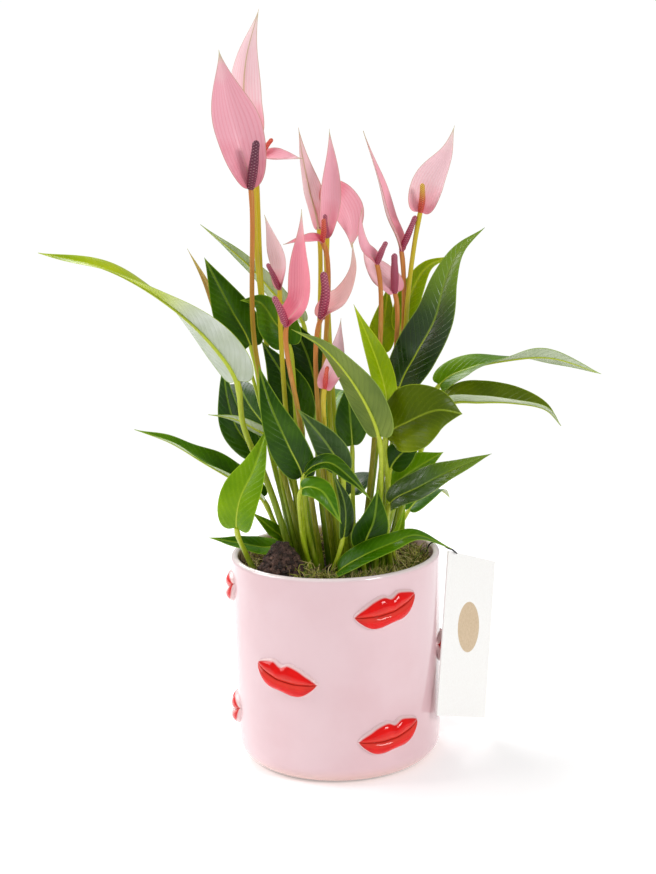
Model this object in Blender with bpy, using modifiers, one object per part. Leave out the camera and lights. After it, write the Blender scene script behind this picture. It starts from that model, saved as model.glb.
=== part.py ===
"""Potted anthurium: a flowering plant in a glazed pot with raised lips.

Builds one closed solid for each separate piece: the glazed pot, the grow pot
inside it, the soil, two pads of moss, every leaf on its stalk, every flower on
its stalk, and a card that hangs over the rim on an elastic string.

Frame: the origin is the centre of the pot's base, +Z up, -Y towards the front.
Sizes below are in millimetres; MM turns them into Blender's metres.
"""
import math

import bmesh
import bpy
import numpy as np

MM = 0.001
GAP = 0.3                  # clearance between pieces that touch

# Glazed pot
POT_RADIUS = 67.0          # outside, at the rim
POT_BASE_RADIUS = 65.7     # outside, just above the base's rounding
POT_HEIGHT = 135.0
POT_WALL = 4.5
POT_FLOOR = 8.0
BASE_ROUNDING = 13.0
POT_SEGMENTS = 48

# Raised lips on the pot: three rows of three, a third of a turn apart
LIPS_WIDTH = 45.0
LIPS_RELIEF = 5.0
LIPS_ROOT = 1.5            # how far the relief reaches into the wall
LIPS_PER_ROW = 3
LIPS_ROWS = (              # angle of the first one from the front, height, tilt in degrees
    (27.0, 115.0, 12.0),
    (-30.0, 72.0, -12.0),
    (28.0, 33.0, 9.0),
)
LIPS_OUTLINE = (           # half width 1: mouth corners, two peaks with a notch, lower lip
    (-1.0, 0.0), (-0.62, 0.22), (-0.24, 0.37), (0.06, 0.28), (0.3, 0.36), (0.66, 0.22),
    (1.0, 0.0), (0.74, -0.33), (0.4, -0.52), (0.0, -0.54), (-0.4, -0.54), (-0.76, -0.36),
)

# Grow pot and soil
GROW_POT_TOP_RADIUS = 60.5
GROW_POT_BASE_RADIUS = 46.0
GROW_POT_TOP = 116.0
GROW_POT_WALL = 0.9
SOIL_EDGE = 117.0          # height of the soil at the grow pot's rim
SOIL_TOP = 119.9           # and around the stems
SOIL_FLAT_RADIUS = 46.0

# Card and its string
CARD_HEIGHT = 105.0
CARD_WIDTH = 74.0
CARD_THICKNESS = 0.8
CARD_TOP_CORNER = (72.3, -3.8, 133.7)       # the corner that the string holds
CARD_TURN = 60.6           # degrees the card turns away from the front
CARD_TILT = 20.1           # degrees it hangs askew, in its own plane
CARD_LEAN = -4.5           # degrees its face leans back
STRING_RADIUS = 0.5
STRING_ROUTE = (           # out of the moss, over the rim and down to the card's face
    (59.0, 10.2, 129.6), (60.0, 9.8, 131.8), (61.3, 9.2, 134.6), (63.6, 8.0, 136.2),
    (65.8, 7.0, 136.7), (67.9, 5.0, 136.4), (69.9, 3.0, 135.6), (72.0, 1.0, 134.3),
    (75.3, -1.0, 133.3), (76.9, 0.6, 131.6), (78.4, 3.6, 129.6),
)

# Leaves and flowers
RING = 8                   # points round a stalk or a blade's section
STALK_SPANS = 5
BLADE_SPANS = 7
STALK_RADIUS = 1.2
BLADE_THICKNESS = 1.0
BLADE_FOLD = 0.25          # how far the edges rise, as a share of the half width
TIP_HALF_WIDTH = 0.45
WIDEST = 0.28              # where a blade is widest, as a share of its length
SPADIX_SIDES = 8
SPADIX_SPANS = 5

# Each leaf: stalk from the soil up, blade from its heel to its tip, half width,
# and the way the upper face looks at the heel and at the tip.
LEAVES = {
    "leaf_long_left": (
        [(-24, -12, 121), (-40, -18, 180), (-55, -24, 223)],
        [(-58, -28, 252), (-71, -34, 275), (-95, -38, 300), (-131, -34, 322), (-176, -22, 333)],
        20, (0.5, 0.75, 0.45), (0.0, -0.5, 0.9)),
    "leaf_upright_left": (
        [(-22, 2, 121), (-41, 2, 208)],
        [(-50, 4, 269), (-61, 6, 291), (-70, 6, 310), (-77, 4, 325)],
        12, (-0.3, -0.8, 0.4), (-0.3, -0.8, 0.4)),
    "leaf_young_left": (
        [(-26, 10, 121), (-42, 12, 213)],
        [(-56, 14, 265), (-68, 14, 285), (-78, 14, 310), (-88, 12, 330)],
        3.5, (-0.3, -0.8, 0.4), (-0.3, -0.8, 0.4)),
    "leaf_curled_left": (
        [(-13, 4, 121), (-22, 0, 208)],
        [(-26, -3, 270), (-34, -3, 284), (-43, -6, 297), (-55, -8, 299)],
        12, (-0.2, -0.8, 0.5), (-0.2, -0.8, 0.5)),
    "leaf_pale_behind": (
        [(-16, 18, 121), (-21, 20, 204)],
        [(-17, 20, 281), (-31, 22, 295), (-50, 24, 317), (-80, 24, 344)],
        8, (0.5, 0.7, 0.4), (0.5, 0.7, 0.4)),
    "leaf_dark_left": (
        [(-26, 0, 121), (-38, 2, 169)],
        [(-49, 4, 198), (-61, 2, 218), (-66, 0, 240), (-67, -2, 261)],
        10, (-0.5, -0.7, 0.3), (-0.5, -0.7, 0.3)),
    "leaf_small_left": (
        [(-21, -8, 121), (-32, -6, 177)],
        [(-38, -5, 209), (-49, -9, 218), (-61, -12, 225), (-77, -16, 229)],
        5, (0.2, 0.7, 0.4), (0.1, 0.6, 0.6)),
    "leaf_bright_low_left": (
        [(-48, -22, 121), (-56, -17, 137)],
        [(-61, -36, 161), (-58, -40, 180), (-49, -38, 198), (-40, -32, 223)],
        13, (-0.3, -0.9, 0.2), (-0.3, -0.9, 0.2)),
    "leaf_drooping_left": (
        [(-24, -4, 121), (-38, -2, 153)],
        [(-46, -2, 171), (-59, -6, 182), (-81, -10, 197), (-102, -12, 211), (-124, -12, 220)],
        11, (0, -0.3, 0.95), (0.1, -0.3, 0.95)),
    "leaf_over_rim_left": (
        [(-26, 6, 121)],
        [(-36, 4, 136), (-47, 0, 138), (-61, -4, 142), (-81, -6, 147)],
        8, (0, -0.5, 0.85), (0, -0.5, 0.85)),
    "leaf_tiny_left": (
        [(-26, -8, 121)],
        [(-33, -8, 145), (-40, -12, 153), (-52, -18, 166)],
        5, (-0.3, -0.6, 0.7), (-0.3, -0.6, 0.7)),
    "leaf_front_left": (
        [(-10, -22, 121), (-18, -30, 163)],
        [(-19, -38, 193), (-27, -44, 214), (-37, -44, 239), (-44, -36, 263)],
        12, (-0.25, -0.9, 0.3), (-0.25, -0.9, 0.3)),
    "leaf_inner_left": (
        [(-4, 10, 121), (-10, 12, 185)],
        [(-9, 12, 231), (-13, 10, 256), (-24, 8, 285)],
        9, (-0.3, -0.8, 0.5), (-0.3, -0.8, 0.5)),
    "leaf_inner_far_left": (
        [(-12, 8, 121), (-18, 8, 180)],
        [(-20, 6, 220), (-28, 4, 245), (-43, 2, 272)],
        11, (-0.4, -0.8, 0.4), (-0.4, -0.8, 0.4)),
    "leaf_arching_centre": (
        [(24, -20, 121), (29, -36, 183)],
        [(28, -48, 219), (21, -52, 239), (8, -54, 261), (-6, -50, 276), (-23, -42, 285)],
        12, (0.4, 0.8, 0.4), (0.3, 0.6, 0.7)),
    "leaf_folded_centre": (
        [(20, -4, 121), (29, -14, 184)],
        [(34, -22, 235), (29, -26, 259), (15, -26, 297)],
        9, (0.5, -0.8, 0.3), (0.5, -0.8, 0.3)),
    "leaf_bright_right": (
        [(24, 16, 121), (40, 18, 209)],
        [(45, 18, 274), (53, 18, 299), (63, 18, 314), (80, 14, 321)],
        8, (0.2, -0.7, 0.6), (0.2, -0.7, 0.6)),
    "leaf_inner_right": (
        [(18, 20, 121), (30, 20, 209)],
        [(32, 20, 261), (35, 20, 281), (38, 18, 303)],
        7, (0, -0.9, 0.3), (0, -0.9, 0.3)),
    "leaf_glossy_right": (
        [(26, 0, 121), (36, 0, 187)],
        [(43, -8, 242), (53, -14, 263), (65, -16, 285), (72, -14, 309), (81, -12, 327), (97, -8, 340)],
        13, (-0.1, -0.9, 0.4), (-0.5, -0.8, 0.3)),
    "leaf_high_right": (
        [(32, 8, 121), (49, 8, 185)],
        [(69, 6, 240), (88, 2, 251), (110, -2, 256), (138, -4, 257), (170, -4, 246)],
        13, (0.1, -0.6, 0.8), (0.1, 0.3, 0.9)),
    "leaf_far_right": (
        [(32, -4, 121), (49, -4, 181)],
        [(72, -11, 230), (93, -18, 233), (114, -20, 232), (133, -19, 227), (143, -16, 216)],
        13.5, (0.1, -0.7, 0.7), (0.1, -0.6, 0.8)),
    "leaf_round_right": (
        [(30, -14, 121), (34, -24, 180)],
        [(33, -36, 216), (47, -44, 227), (64, -48, 234), (79, -46, 231)],
        17, (0.1, -0.85, 0.5), (0.1, -0.85, 0.5)),
    "leaf_pale_low_right": (
        [(34, -8, 121), (34, -10, 157)],
        [(37, -12, 178), (47, -17, 188), (69, -20, 202)],
        8, (0, -0.7, 0.7), (0, -0.7, 0.7)),
    "leaf_low_right": (
        [(36, -16, 121), (33, -24, 154)],
        [(35, -32, 173), (53, -40, 185), (71, -44, 195), (97, -42, 205)],
        10, (0, -0.6, 0.8), (0, -0.6, 0.8)),
    "leaf_tiny_right": (
        [(39, -2, 121)],
        [(37, -11, 140), (41, -13, 151), (45, -15, 167)],
        3.5, (0, -0.9, 0.3), (0, -0.9, 0.3)),
    "leaf_front_right": (
        [(18, -28, 121)],
        [(18, -38, 148), (24, -42, 165), (27, -42, 185)],
        8, (0.2, -0.9, 0.3), (0.2, -0.9, 0.3)),
    "leaf_on_moss": (
        [(4, -34, 121)],
        [(1, -46, 133), (16, -50, 144), (35, -50, 152), (49, -48, 156), (72, -40, 145)],
        7.5, (0, -0.4, 0.9), (0, -0.4, 0.9)),
    "leaf_narrow_front": (
        [(-6, -36, 121)],
        [(5, -42, 155), (6, -45, 176), (-1, -40, 197)],
        5.5, (0.7, -0.6, 0.1), (0.7, -0.6, 0.1)),
    "leaf_arching_front": (
        [(-16, -18, 121), (-20, -34, 164)],
        [(-17, -48, 197), (-3, -56, 205), (11, -60, 195), (22, -62, 183)],
        7, (0, -0.5, 0.85), (0, -0.5, 0.85)),
    "leaf_hanging_front": (
        [(-14, -28, 121), (-21, -42, 163)],
        [(-19, -54, 189), (-8, -60, 189), (4, -64, 169)],
        7, (-0.1, -0.8, 0.6), (-0.1, -0.8, 0.6)),
    "leaf_inner_centre": (
        [(12, -14, 121), (12, -20, 173)],
        [(12, -28, 210), (11, -32, 229), (10, -32, 250)],
        7, (0.2, -0.9, 0.2), (0.2, -0.9, 0.2)),
    "leaf_slate_centre": (
        [(8, -20, 121), (6, -30, 163)],
        [(5, -38, 196), (-3, -42, 213), (-21, -40, 236)],
        8, (-0.3, -0.7, 0.5), (-0.3, -0.7, 0.5)),
    "leaf_under_round": (
        [(30, -10, 121), (34, -15, 164)],
        [(36, -21, 193), (45, -24, 205), (59, -26, 218)],
        9, (0.2, -0.8, 0.5), (0.2, -0.8, 0.5)),
    "leaf_back_centre": (
        [(0, 26, 121), (-3, 44, 157)],
        [(-2, 60, 195), (3, 92, 216), (10, 125, 216), (15, 150, 198)],
        15, (0, -0.3, 0.95), (0, 0.5, 0.85)),
    "leaf_back_left": (
        [(-16, 26, 121), (-29, 44, 158)],
        [(-40, 60, 196), (-56, 86, 215), (-65, 112, 225), (-70, 135, 216)],
        13, (-0.3, -0.2, 0.9), (-0.3, 0.5, 0.8)),
    "leaf_back_right": (
        [(28, 24, 121), (41, 40, 157)],
        [(49, 56, 194), (64, 82, 206), (76, 108, 208), (84, 130, 194)],
        13, (0.3, -0.2, 0.9), (0.3, 0.5, 0.8)),
    "leaf_back_low": (
        [(8, 32, 121), (10, 46, 143)],
        [(12, 62, 156), (16, 88, 162), (12, 112, 158), (8, 132, 143)],
        11, (0, -0.3, 0.95), (0, 0.5, 0.85)),
    "leaf_back_low_right": (
        [(36, 20, 121), (44, 38, 140)],
        [(50, 50, 147), (62, 70, 153), (74, 90, 151), (82, 108, 141)],
        9, (0.2, -0.3, 0.9), (0.2, 0.4, 0.9)),
}

# Each flower: as a leaf, then the route of its rod from the heel, and the rod's radius.
# The drooping one folds shut round its rod, so none shows.
FLOWERS = {
    "flower_tall_left": (
        [(-17, -11, 121), (-36, -11, 211), (-47, -11, 274)],
        [(-46, -10, 368), (-51, -10, 392), (-59, -3, 424), (-63, 3, 451)],
        15, (0.3, -0.95, 0.2), (0.3, -0.95, 0.2),
        [(-46, -10, 368), (-43, -19, 384), (-41, -23, 397)], 2.7),
    "flower_tall_behind": (
        [(-10, 14, 121), (-34, 16, 205), (-42, 16, 296)],
        [(-44, 14, 395), (-49, 16, 421), (-47, 16, 445), (-38, 12, 475)],
        9, (0.2, 0.9, 0.3), (0.2, 0.9, 0.3),
        [(-44, 14, 395), (-43, 24, 403), (-42, 28, 409)], 2),
    "flower_young_left": (
        [(-15, 12, 121), (-30, 9, 206), (-41, 7, 278)],
        [(-41, 5, 384), (-28, -4, 385), (-14, -12, 385)],
        5, (-0.3, -0.3, 0.9), (-0.1, -0.3, 0.9),
        [(-41, 5, 384), (-37, 3, 391), (-32, 3, 397)], 1.6),
    "flower_pale_left": (
        [(-20, -4, 121), (-29, -14, 237)],
        [(-30, -16, 306), (-28, -16, 323), (-38, -16, 352)],
        6.5, (-0.8, -0.6, 0.1), (-0.8, -0.6, 0.1),
        [(-30, -16, 306), (-33, -20, 314), (-37, -22, 323)], 1.6),
    "flower_front_left": (
        [(-8, -16, 121), (-20, -34, 228)],
        [(-26, -40, 287), (-16, -40, 302), (-15, -38, 332), (-15, -34, 356)],
        9, (-0.75, -0.65, 0.1), (-0.75, -0.65, 0.1),
        [(-26, -40, 287), (-29, -46, 297), (-33, -49, 306)], 2.2),
    "flower_centre": (
        [(0, -12, 121), (-8, -28, 220)],
        [(-5, -32, 290), (10, -30, 302), (16, -30, 318), (15, -28, 335)],
        9, (-0.8, -0.5, 0.3), (-0.8, -0.5, 0.3),
        [(-5, -32, 290), (-2, -38, 306), (-3, -40, 319)], 2.7),
    "flower_young_centre": (
        [(2, 4, 121), (-6, -4, 215)],
        [(-3, -14, 334), (-15, -18, 336), (-27, -20, 334)],
        3.5, (0.2, -0.5, 0.85), (0.2, -0.5, 0.85),
        [(-3, -14, 334), (-2, -17, 342), (-2, -19, 349)], 1.6),
    "flower_pale_centre": (
        [(-4, 18, 121), (-9, 18, 210)],
        [(-5, 12, 340), (-10, 14, 364), (-14, 14, 386), (-16, 12, 403)],
        6, (0.4, 0.7, 0.5), (0.4, 0.7, 0.5),
        [(-5, 12, 340), (-3, 20, 348), (-2, 24, 354)], 1.7),
    "flower_tall_centre": (
        [(5, 8, 121), (-1, 8, 212)],
        [(0, -4, 336), (3, 0, 356), (4, 2, 380), (3, 4, 402)],
        6.5, (-0.2, -0.95, 0.2), (-0.2, -0.95, 0.2),
        [(0, -4, 336), (-1, -10, 344), (-1, -12, 351)], 1.6),
    "flower_drooping": (
        [(10, 14, 121), (2, 16, 215), (-1, 14, 335)],
        [(0, 12, 355), (5, 10, 361), (11, 8, 353), (15, 6, 340), (15, 6, 328)],
        8, (0.3, -0.8, 0.5), (0.3, -0.8, 0.3),
        [], 0),
    "flower_narrow_right": (
        [(24, 8, 121), (41, 8, 211)],
        [(46, 4, 326), (38, 8, 348), (33, 10, 370), (24, 10, 400)],
        5, (0.9, -0.3, 0.2), (0.9, -0.3, 0.2),
        [(46, 4, 326), (51, 0, 338), (55, -2, 348)], 1.9),
    "flower_tall_right": (
        [(28, 4, 121), (43, 3, 212), (50, 1, 302)],
        [(58, 0, 350), (64, 2, 368), (75, 3, 386), (80, 3, 402)],
        10, (-0.1, -0.95, 0.2), (-0.2, -0.9, 0.2),
        [(58, 0, 350), (59, -6, 359), (59, -8, 368)], 1.8),
    "flower_inner_right": (
        [(16, 6, 121), (27, 0, 213)],
        [(30, -13, 320), (22, -12, 330), (20, -9, 342), (22, -6, 354)],
        5, (0.7, -0.6, 0.3), (0.7, -0.6, 0.3),
        [(30, -13, 320), (33, -17, 328), (36, -19, 334)], 1.8),
    "flower_pale_right": (
        [(22, 2, 121), (35, 0, 213)],
        [(41, -4, 301), (32, 0, 311), (25, 2, 322), (22, 2, 333)],
        9, (0.3, -0.8, 0.5), (0.3, -0.8, 0.5),
        [(41, -4, 301), (41, -9, 314), (41, -11, 326)], 2.3),
    "flower_low_young": (
        [(6, -17, 121), (-3, -28, 201)],
        [(-4, -41, 248), (2, -42, 261), (5, -40, 274), (7, -35, 290)],
        6.5, (-0.2, -0.95, 0.2), (-0.2, -0.95, 0.2),
        [(-4, -41, 248), (-3, -47, 257), (-2, -49, 263)], 1.4),
}


def clear_scene():
    for thing in list(bpy.data.objects):
        bpy.data.objects.remove(thing, do_unlink=True)


def new_collection(name):
    collection = bpy.data.collections.new(name)
    bpy.context.scene.collection.children.link(collection)
    return collection


def material(name, color, roughness, metallic=0.0):
    made = bpy.data.materials.new(name)
    made.use_nodes = True
    shader = made.node_tree.nodes["Principled BSDF"]
    shader.inputs["Base Color"].default_value = (*color, 1.0)
    shader.inputs["Roughness"].default_value = roughness
    shader.inputs["Metallic"].default_value = metallic
    return made


def add_object(name, mesh, collection, finish):
    made = bpy.data.objects.new(name, mesh)
    collection.objects.link(made)
    made.data.materials.append(finish)
    return made


def mesh_from(name, points, faces):
    """A smooth-shaded mesh from points in millimetres."""
    mesh = bpy.data.meshes.new(name)
    mesh.from_pydata([tuple(MM * float(c) for c in p) for p in points], [], faces)
    mesh.shade_smooth()
    mesh.set_sharp_from_angle(angle=math.radians(50))
    return mesh


def as_cutter(thing):
    thing.hide_render = True
    thing.display_type = "WIRE"


def union(target, other):
    as_cutter(other)
    joined = target.modifiers.new("join_" + other.name, "BOOLEAN")
    joined.operation = "UNION"
    joined.solver = "EXACT"
    joined.object = other


def turned(name, profile, collection, finish, segments=POT_SEGMENTS):
    """A solid of revolution; the profile runs down its outer side, axis to axis."""
    mesh = bpy.data.meshes.new(name)
    points = [(MM * r, 0.0, MM * z) for r, z in profile]
    mesh.from_pydata(points, [(i, i + 1) for i in range(len(points) - 1)], [])
    made = add_object(name, mesh, collection, finish)
    screw = made.modifiers.new("turn", "SCREW")
    screw.axis = "Z"
    screw.steps = segments
    screw.render_steps = segments
    screw.use_merge_vertices = True
    screw.merge_threshold = 0.00001
    screw.use_smooth_shade = True
    return made


def arc(centre, radius, start, end, steps):
    """Points of a round stretch of a profile, angles in degrees."""
    angles = np.radians(np.linspace(start, end, steps + 1))
    return [(centre[0] + radius * math.cos(a), centre[1] + radius * math.sin(a)) for a in angles]


def unit(vector):
    vector = np.asarray(vector, float)
    return vector / np.linalg.norm(vector)


def smooth_curve(points, samples=16):
    """A centripetal Catmull-Rom curve through the points."""
    points = np.asarray(points, float)
    if len(points) == 2:
        points = np.array([points[0], points.mean(axis=0), points[1]])
    padded = np.vstack([2 * points[0] - points[1], points, 2 * points[-1] - points[-2]])
    curve = []
    for i in range(1, len(padded) - 2):
        quad = padded[i - 1:i + 3]
        knots = np.concatenate([[0.0], np.cumsum(np.linalg.norm(np.diff(quad, axis=0), axis=1) ** 0.5)])
        for t in np.linspace(knots[1], knots[2], samples, endpoint=False):
            layer = quad
            for depth in (1, 2, 3):
                first, last = (0, depth) if depth < 3 else (1, 2)
                layer = [
                    (knots[k + last] - t) / (knots[k + last] - knots[k + first]) * layer[k]
                    + (t - knots[k + first]) / (knots[k + last] - knots[k + first]) * layer[k + 1]
                    for k in range(len(layer) - 1)
                ]
            curve.append(layer[0])
    curve.append(points[-1])
    return np.array(curve)


def even_points(curve, count):
    lengths = np.concatenate([[0.0], np.cumsum(np.linalg.norm(np.diff(curve, axis=0), axis=1))])
    places = np.linspace(0.0, lengths[-1], count)
    return np.stack([np.interp(places, lengths, curve[:, axis]) for axis in range(3)], axis=1)


def tangents(path):
    along = np.gradient(path, axis=0)
    return along / np.linalg.norm(along, axis=1)[:, None]


def blade_width(t):
    """Half width along a blade, 1 at its widest: round heel, drawn-out tip."""
    power = math.log(0.5) / math.log(WIDEST)
    swell = max(math.sin(math.pi * t ** power), 0.0)
    return swell ** (0.6 if t < WIDEST else 1.1)


def skin(rings):
    """Points and faces of a closed tube through equal rings, each clockwise along the tube.

    The quads of a ring's second half split along the other diagonal, so that the two faces
    of a thin twisted blade stay parallel and never cross.
    """
    count = len(rings[0])
    faces = []
    for i in range(len(rings) - 1):
        for k in range(count):
            a = i * count + k
            b = i * count + (k + 1) % count
            if k < count // 2:
                faces += [(a, a + count, b + count), (a, b + count, b)]
            else:
                faces += [(a, a + count, b), (a + count, b + count, b)]
    last = (len(rings) - 1) * count
    faces.append(tuple(range(count)))
    faces.append(tuple(last + k for k in range(count - 1, -1, -1)))
    return np.vstack(rings), faces


def stalk_and_blade(stalk, blade, half_width, face_heel, face_tip):
    """One loft: a round stalk that spreads at the heel into a folded blade."""
    samples = 16
    curve = smooth_curve(stalk + blade, samples)
    heel = len(stalk) * samples
    lower = even_points(curve[:heel + 1], STALK_SPANS + 1)
    upper = even_points(curve[heel:], BLADE_SPANS + 1)
    path = np.vstack([lower, upper[1:]])
    along = tangents(path)
    face_heel, face_tip = unit(face_heel), unit(face_tip)

    start = along[STALK_SPANS + 1]
    heel_side = np.cross(unit(face_heel - face_heel.dot(start) * start), start)
    rings = []
    for i in range(STALK_SPANS + 1):
        side = unit(heel_side - heel_side.dot(along[i]) * along[i])
        front = np.cross(along[i], side)
        angles = math.pi - 2 * math.pi / RING * np.arange(RING)
        rings.append(np.array([
            path[i] + STALK_RADIUS * (side * math.cos(a) + front * math.sin(a)) for a in angles]))
    for i in range(STALK_SPANS + 1, len(path)):
        t = (i - STALK_SPANS) / BLADE_SPANS
        front = face_heel * (1 - t) + face_tip * t
        front = unit(front - front.dot(along[i]) * along[i])
        side = np.cross(front, along[i])
        half = max(half_width * blade_width(t), TIP_HALF_WIDTH)
        thick = BLADE_THICKNESS / 2 * (1 - 0.75 * t)
        ring = []
        for across, face in ((-1, 0), (-0.5, 1), (0, 1), (0.5, 1), (1, 0), (0.5, -1), (0, -1), (-0.5, -1)):
            rise = BLADE_FOLD * half * abs(across)
            bulge = face * thick * (1 - 0.45 * abs(across))
            ring.append(path[i] + side * half * across + front * (rise + bulge))
        rings.append(np.array(ring))
    return skin(rings)


def spadix(route, radius):
    """The rod of tiny flowers: a tapered round loft with a blunt end."""
    path = even_points(smooth_curve(route), SPADIX_SPANS + 1)
    along = tangents(path)
    rings = []
    for i, (point, ahead) in enumerate(zip(path, along)):
        t = i / SPADIX_SPANS
        size = radius * (0.82 + 0.25 * math.sin(math.pi * min(1.3 * t, 1.0)))
        if i == SPADIX_SPANS:
            size *= 0.55
        right = unit(np.cross(ahead, (0.3, 0.2, 1.0)))
        up = np.cross(ahead, right)
        rings.append(np.array([
            point + size * (right * math.cos(a) + up * math.sin(a))
            for a in -2 * math.pi / SPADIX_SIDES * np.arange(SPADIX_SIDES)]))
    return skin(rings)


def build_lips(name, turn, height, tilt, collection, finish):
    """Raised lips wrapped round the pot: rings from inside the wall to the crown."""
    corners = [(x, z, 0.0) for x, z in LIPS_OUTLINE + LIPS_OUTLINE[:1]]
    outline = smooth_curve(corners, 2)[:-1, :2] * LIPS_WIDTH / 2
    layers = (
        (1.0, -LIPS_ROOT), (1.0, 0.3 * LIPS_RELIEF), (0.82, 0.84 * LIPS_RELIEF), (0.4, LIPS_RELIEF))
    slope = math.radians(tilt)
    rings = []
    for share, relief in layers:
        ring = []
        for x, z in outline * share:
            round_x = x * math.cos(slope) - z * math.sin(slope)
            up = height + x * math.sin(slope) + z * math.cos(slope)
            angle = math.radians(turn) + round_x / POT_RADIUS
            radius = wall_radius(up) + relief
            ring.append((radius * math.sin(angle), -radius * math.cos(angle), up))
        rings.append(np.array(ring))
    points, faces = skin(rings)
    return add_object(name, mesh_from(name, points, faces), collection, finish)


def wall_radius(height):
    """Outside radius of the pot's slightly tapered wall."""
    return POT_BASE_RADIUS + (POT_RADIUS - POT_BASE_RADIUS) * height / POT_HEIGHT


def build_pot(parts, cutters):
    glaze = material("pale_pink_glaze", (0.83, 0.60, 0.63), 0.12)
    inside = POT_RADIUS - POT_WALL
    lip = POT_WALL / 2
    profile = [(0.0, POT_FLOOR), (inside - 8.0, POT_FLOOR), (inside - 1.3, POT_FLOOR + 7.0)]
    profile += arc((POT_RADIUS - lip, POT_HEIGHT - lip), lip, 180, 0, 6)
    profile += [(wall_radius(h), h) for h in (96.0, 55.0)]
    profile += arc((POT_BASE_RADIUS - BASE_ROUNDING, BASE_ROUNDING), BASE_ROUNDING, 0, -90, 6)
    profile += [(0.0, 0.0)]
    pot = turned("ceramic_pot", profile, parts, glaze)
    for row, (turn, height, tilt) in enumerate(LIPS_ROWS):
        for k in range(LIPS_PER_ROW):
            lips = build_lips(
                f"lips_{row}_{k}", turn + 360.0 / LIPS_PER_ROW * k, height, tilt, cutters, glaze)
            union(pot, lips)


def build_grow_pot(parts):
    plastic = material("grow_pot_plastic", (0.03, 0.03, 0.03), 0.5)
    base = POT_FLOOR + GAP
    wall = GROW_POT_WALL
    profile = [
        (0.0, base + wall), (GROW_POT_BASE_RADIUS - wall, base + wall),
        (GROW_POT_TOP_RADIUS - wall, GROW_POT_TOP), (GROW_POT_TOP_RADIUS, GROW_POT_TOP),
        (GROW_POT_BASE_RADIUS, base), (0.0, base),
    ]
    turned("grow_pot", profile, parts, plastic)


def build_soil(parts):
    earth = material("potting_soil", (0.055, 0.035, 0.025), 0.95)
    base = POT_FLOOR + GAP + GROW_POT_WALL + GAP
    inset = GROW_POT_WALL + GAP
    profile = [
        (0.0, SOIL_TOP), (SOIL_FLAT_RADIUS, SOIL_TOP), (GROW_POT_TOP_RADIUS - inset - 1.0, SOIL_EDGE),
        (GROW_POT_TOP_RADIUS - inset - 0.4, GROW_POT_TOP - 1.5),
        (GROW_POT_BASE_RADIUS - inset - 0.2, base), (0.0, base),
    ]
    turned("potting_soil", profile, parts, earth)


def build_moss(parts):
    """Two cushions of moss that follow the pot's wall, lying on the soil."""
    moss = material("moss", (0.17, 0.15, 0.05), 0.9)
    cushions = (               # name, start and end angle in degrees, inner and outer radius, height
        ("moss_right", -40.0, 82.0, 49.0, 58.0, 8.0),
        ("moss_left", 108.0, 196.0, 47.0, 57.0, 5.0),
    )
    for name, start, end, inner, outer, height in cushions:
        rings = []
        spans = 10
        for i in range(spans + 1):
            swell = math.sin(math.pi * (0.06 + 0.88 * i / spans)) ** 0.5
            angle = math.radians(start + (end - start) * i / spans)
            middle, half = (inner + outer) / 2, (outer - inner) / 2 * swell
            ring = []
            for k in range(RING):
                a = 2 * math.pi * k / RING
                radius = middle + half * math.cos(a)
                up = SOIL_TOP + GAP + height * swell * (1 + math.sin(a)) / 2
                ring.append((radius * math.cos(angle), radius * math.sin(angle), up))
            rings.append(np.array(ring))
        points, faces = skin(rings)
        add_object(name, mesh_from(name, points, faces), parts, moss)


def build_card(parts):
    """A plain card, turned away from the front and hanging askew from one corner."""
    paper = material("white_card", (0.86, 0.85, 0.83), 0.6)
    solid = bmesh.new()
    bmesh.ops.create_cube(solid, size=1.0)
    bmesh.ops.scale(solid, vec=(CARD_WIDTH * MM, CARD_THICKNESS * MM, CARD_HEIGHT * MM), verts=solid.verts)
    bmesh.ops.translate(solid, vec=(CARD_WIDTH / 2 * MM, 0.0, -CARD_HEIGHT / 2 * MM), verts=solid.verts)
    mesh = bpy.data.meshes.new("gift_card")
    solid.to_mesh(mesh)
    solid.free()
    card = add_object("gift_card", mesh, parts, paper)
    card.rotation_mode = "YXZ"
    card.rotation_euler = tuple(math.radians(a) for a in (CARD_LEAN, CARD_TILT, CARD_TURN))
    card.location = tuple(MM * c for c in CARD_TOP_CORNER)


def build_string(parts):
    elastic = material("black_elastic", (0.02, 0.02, 0.022), 0.6)
    curve = bpy.data.curves.new("card_string", "CURVE")
    curve.dimensions = "3D"
    curve.bevel_depth = STRING_RADIUS * MM
    curve.bevel_resolution = 2
    curve.render_resolution_u = 0
    curve.use_fill_caps = True
    points = even_points(smooth_curve(STRING_ROUTE), 16)
    line = curve.splines.new("POLY")
    line.points.add(len(points) - 1)
    for target, point in zip(line.points, points):
        target.co = (*(MM * point), 1.0)
    add_object("card_string", curve, parts, elastic)


def build_leaves(parts):
    for name, (stalk, blade, half_width, face_heel, face_tip) in LEAVES.items():
        finish = material(name, (0.11, 0.26, 0.02), 0.25)
        points, faces = stalk_and_blade(stalk, blade, half_width, face_heel, face_tip)
        add_object(name, mesh_from(name, points, faces), parts, finish)


def build_flowers(parts, cutters):
    for name, (stalk, blade, half_width, face_heel, face_tip, rod, rod_radius) in FLOWERS.items():
        finish = material(name, (0.85, 0.33, 0.40), 0.35)
        points, faces = stalk_and_blade(stalk, blade, half_width, face_heel, face_tip)
        flower = add_object(name, mesh_from(name, points, faces), parts, finish)
        if not rod:
            continue
        points, faces = spadix(rod, rod_radius)
        union(flower, add_object(name + "_rod", mesh_from(name + "_rod", points, faces), cutters, finish))


clear_scene()
PARTS = new_collection("potted_anthurium")
CUTTERS = new_collection("cutters")
build_pot(PARTS, CUTTERS)
build_grow_pot(PARTS)
build_soil(PARTS)
build_moss(PARTS)
build_card(PARTS)
build_string(PARTS)
build_leaves(PARTS)
build_flowers(PARTS, CUTTERS)
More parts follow.
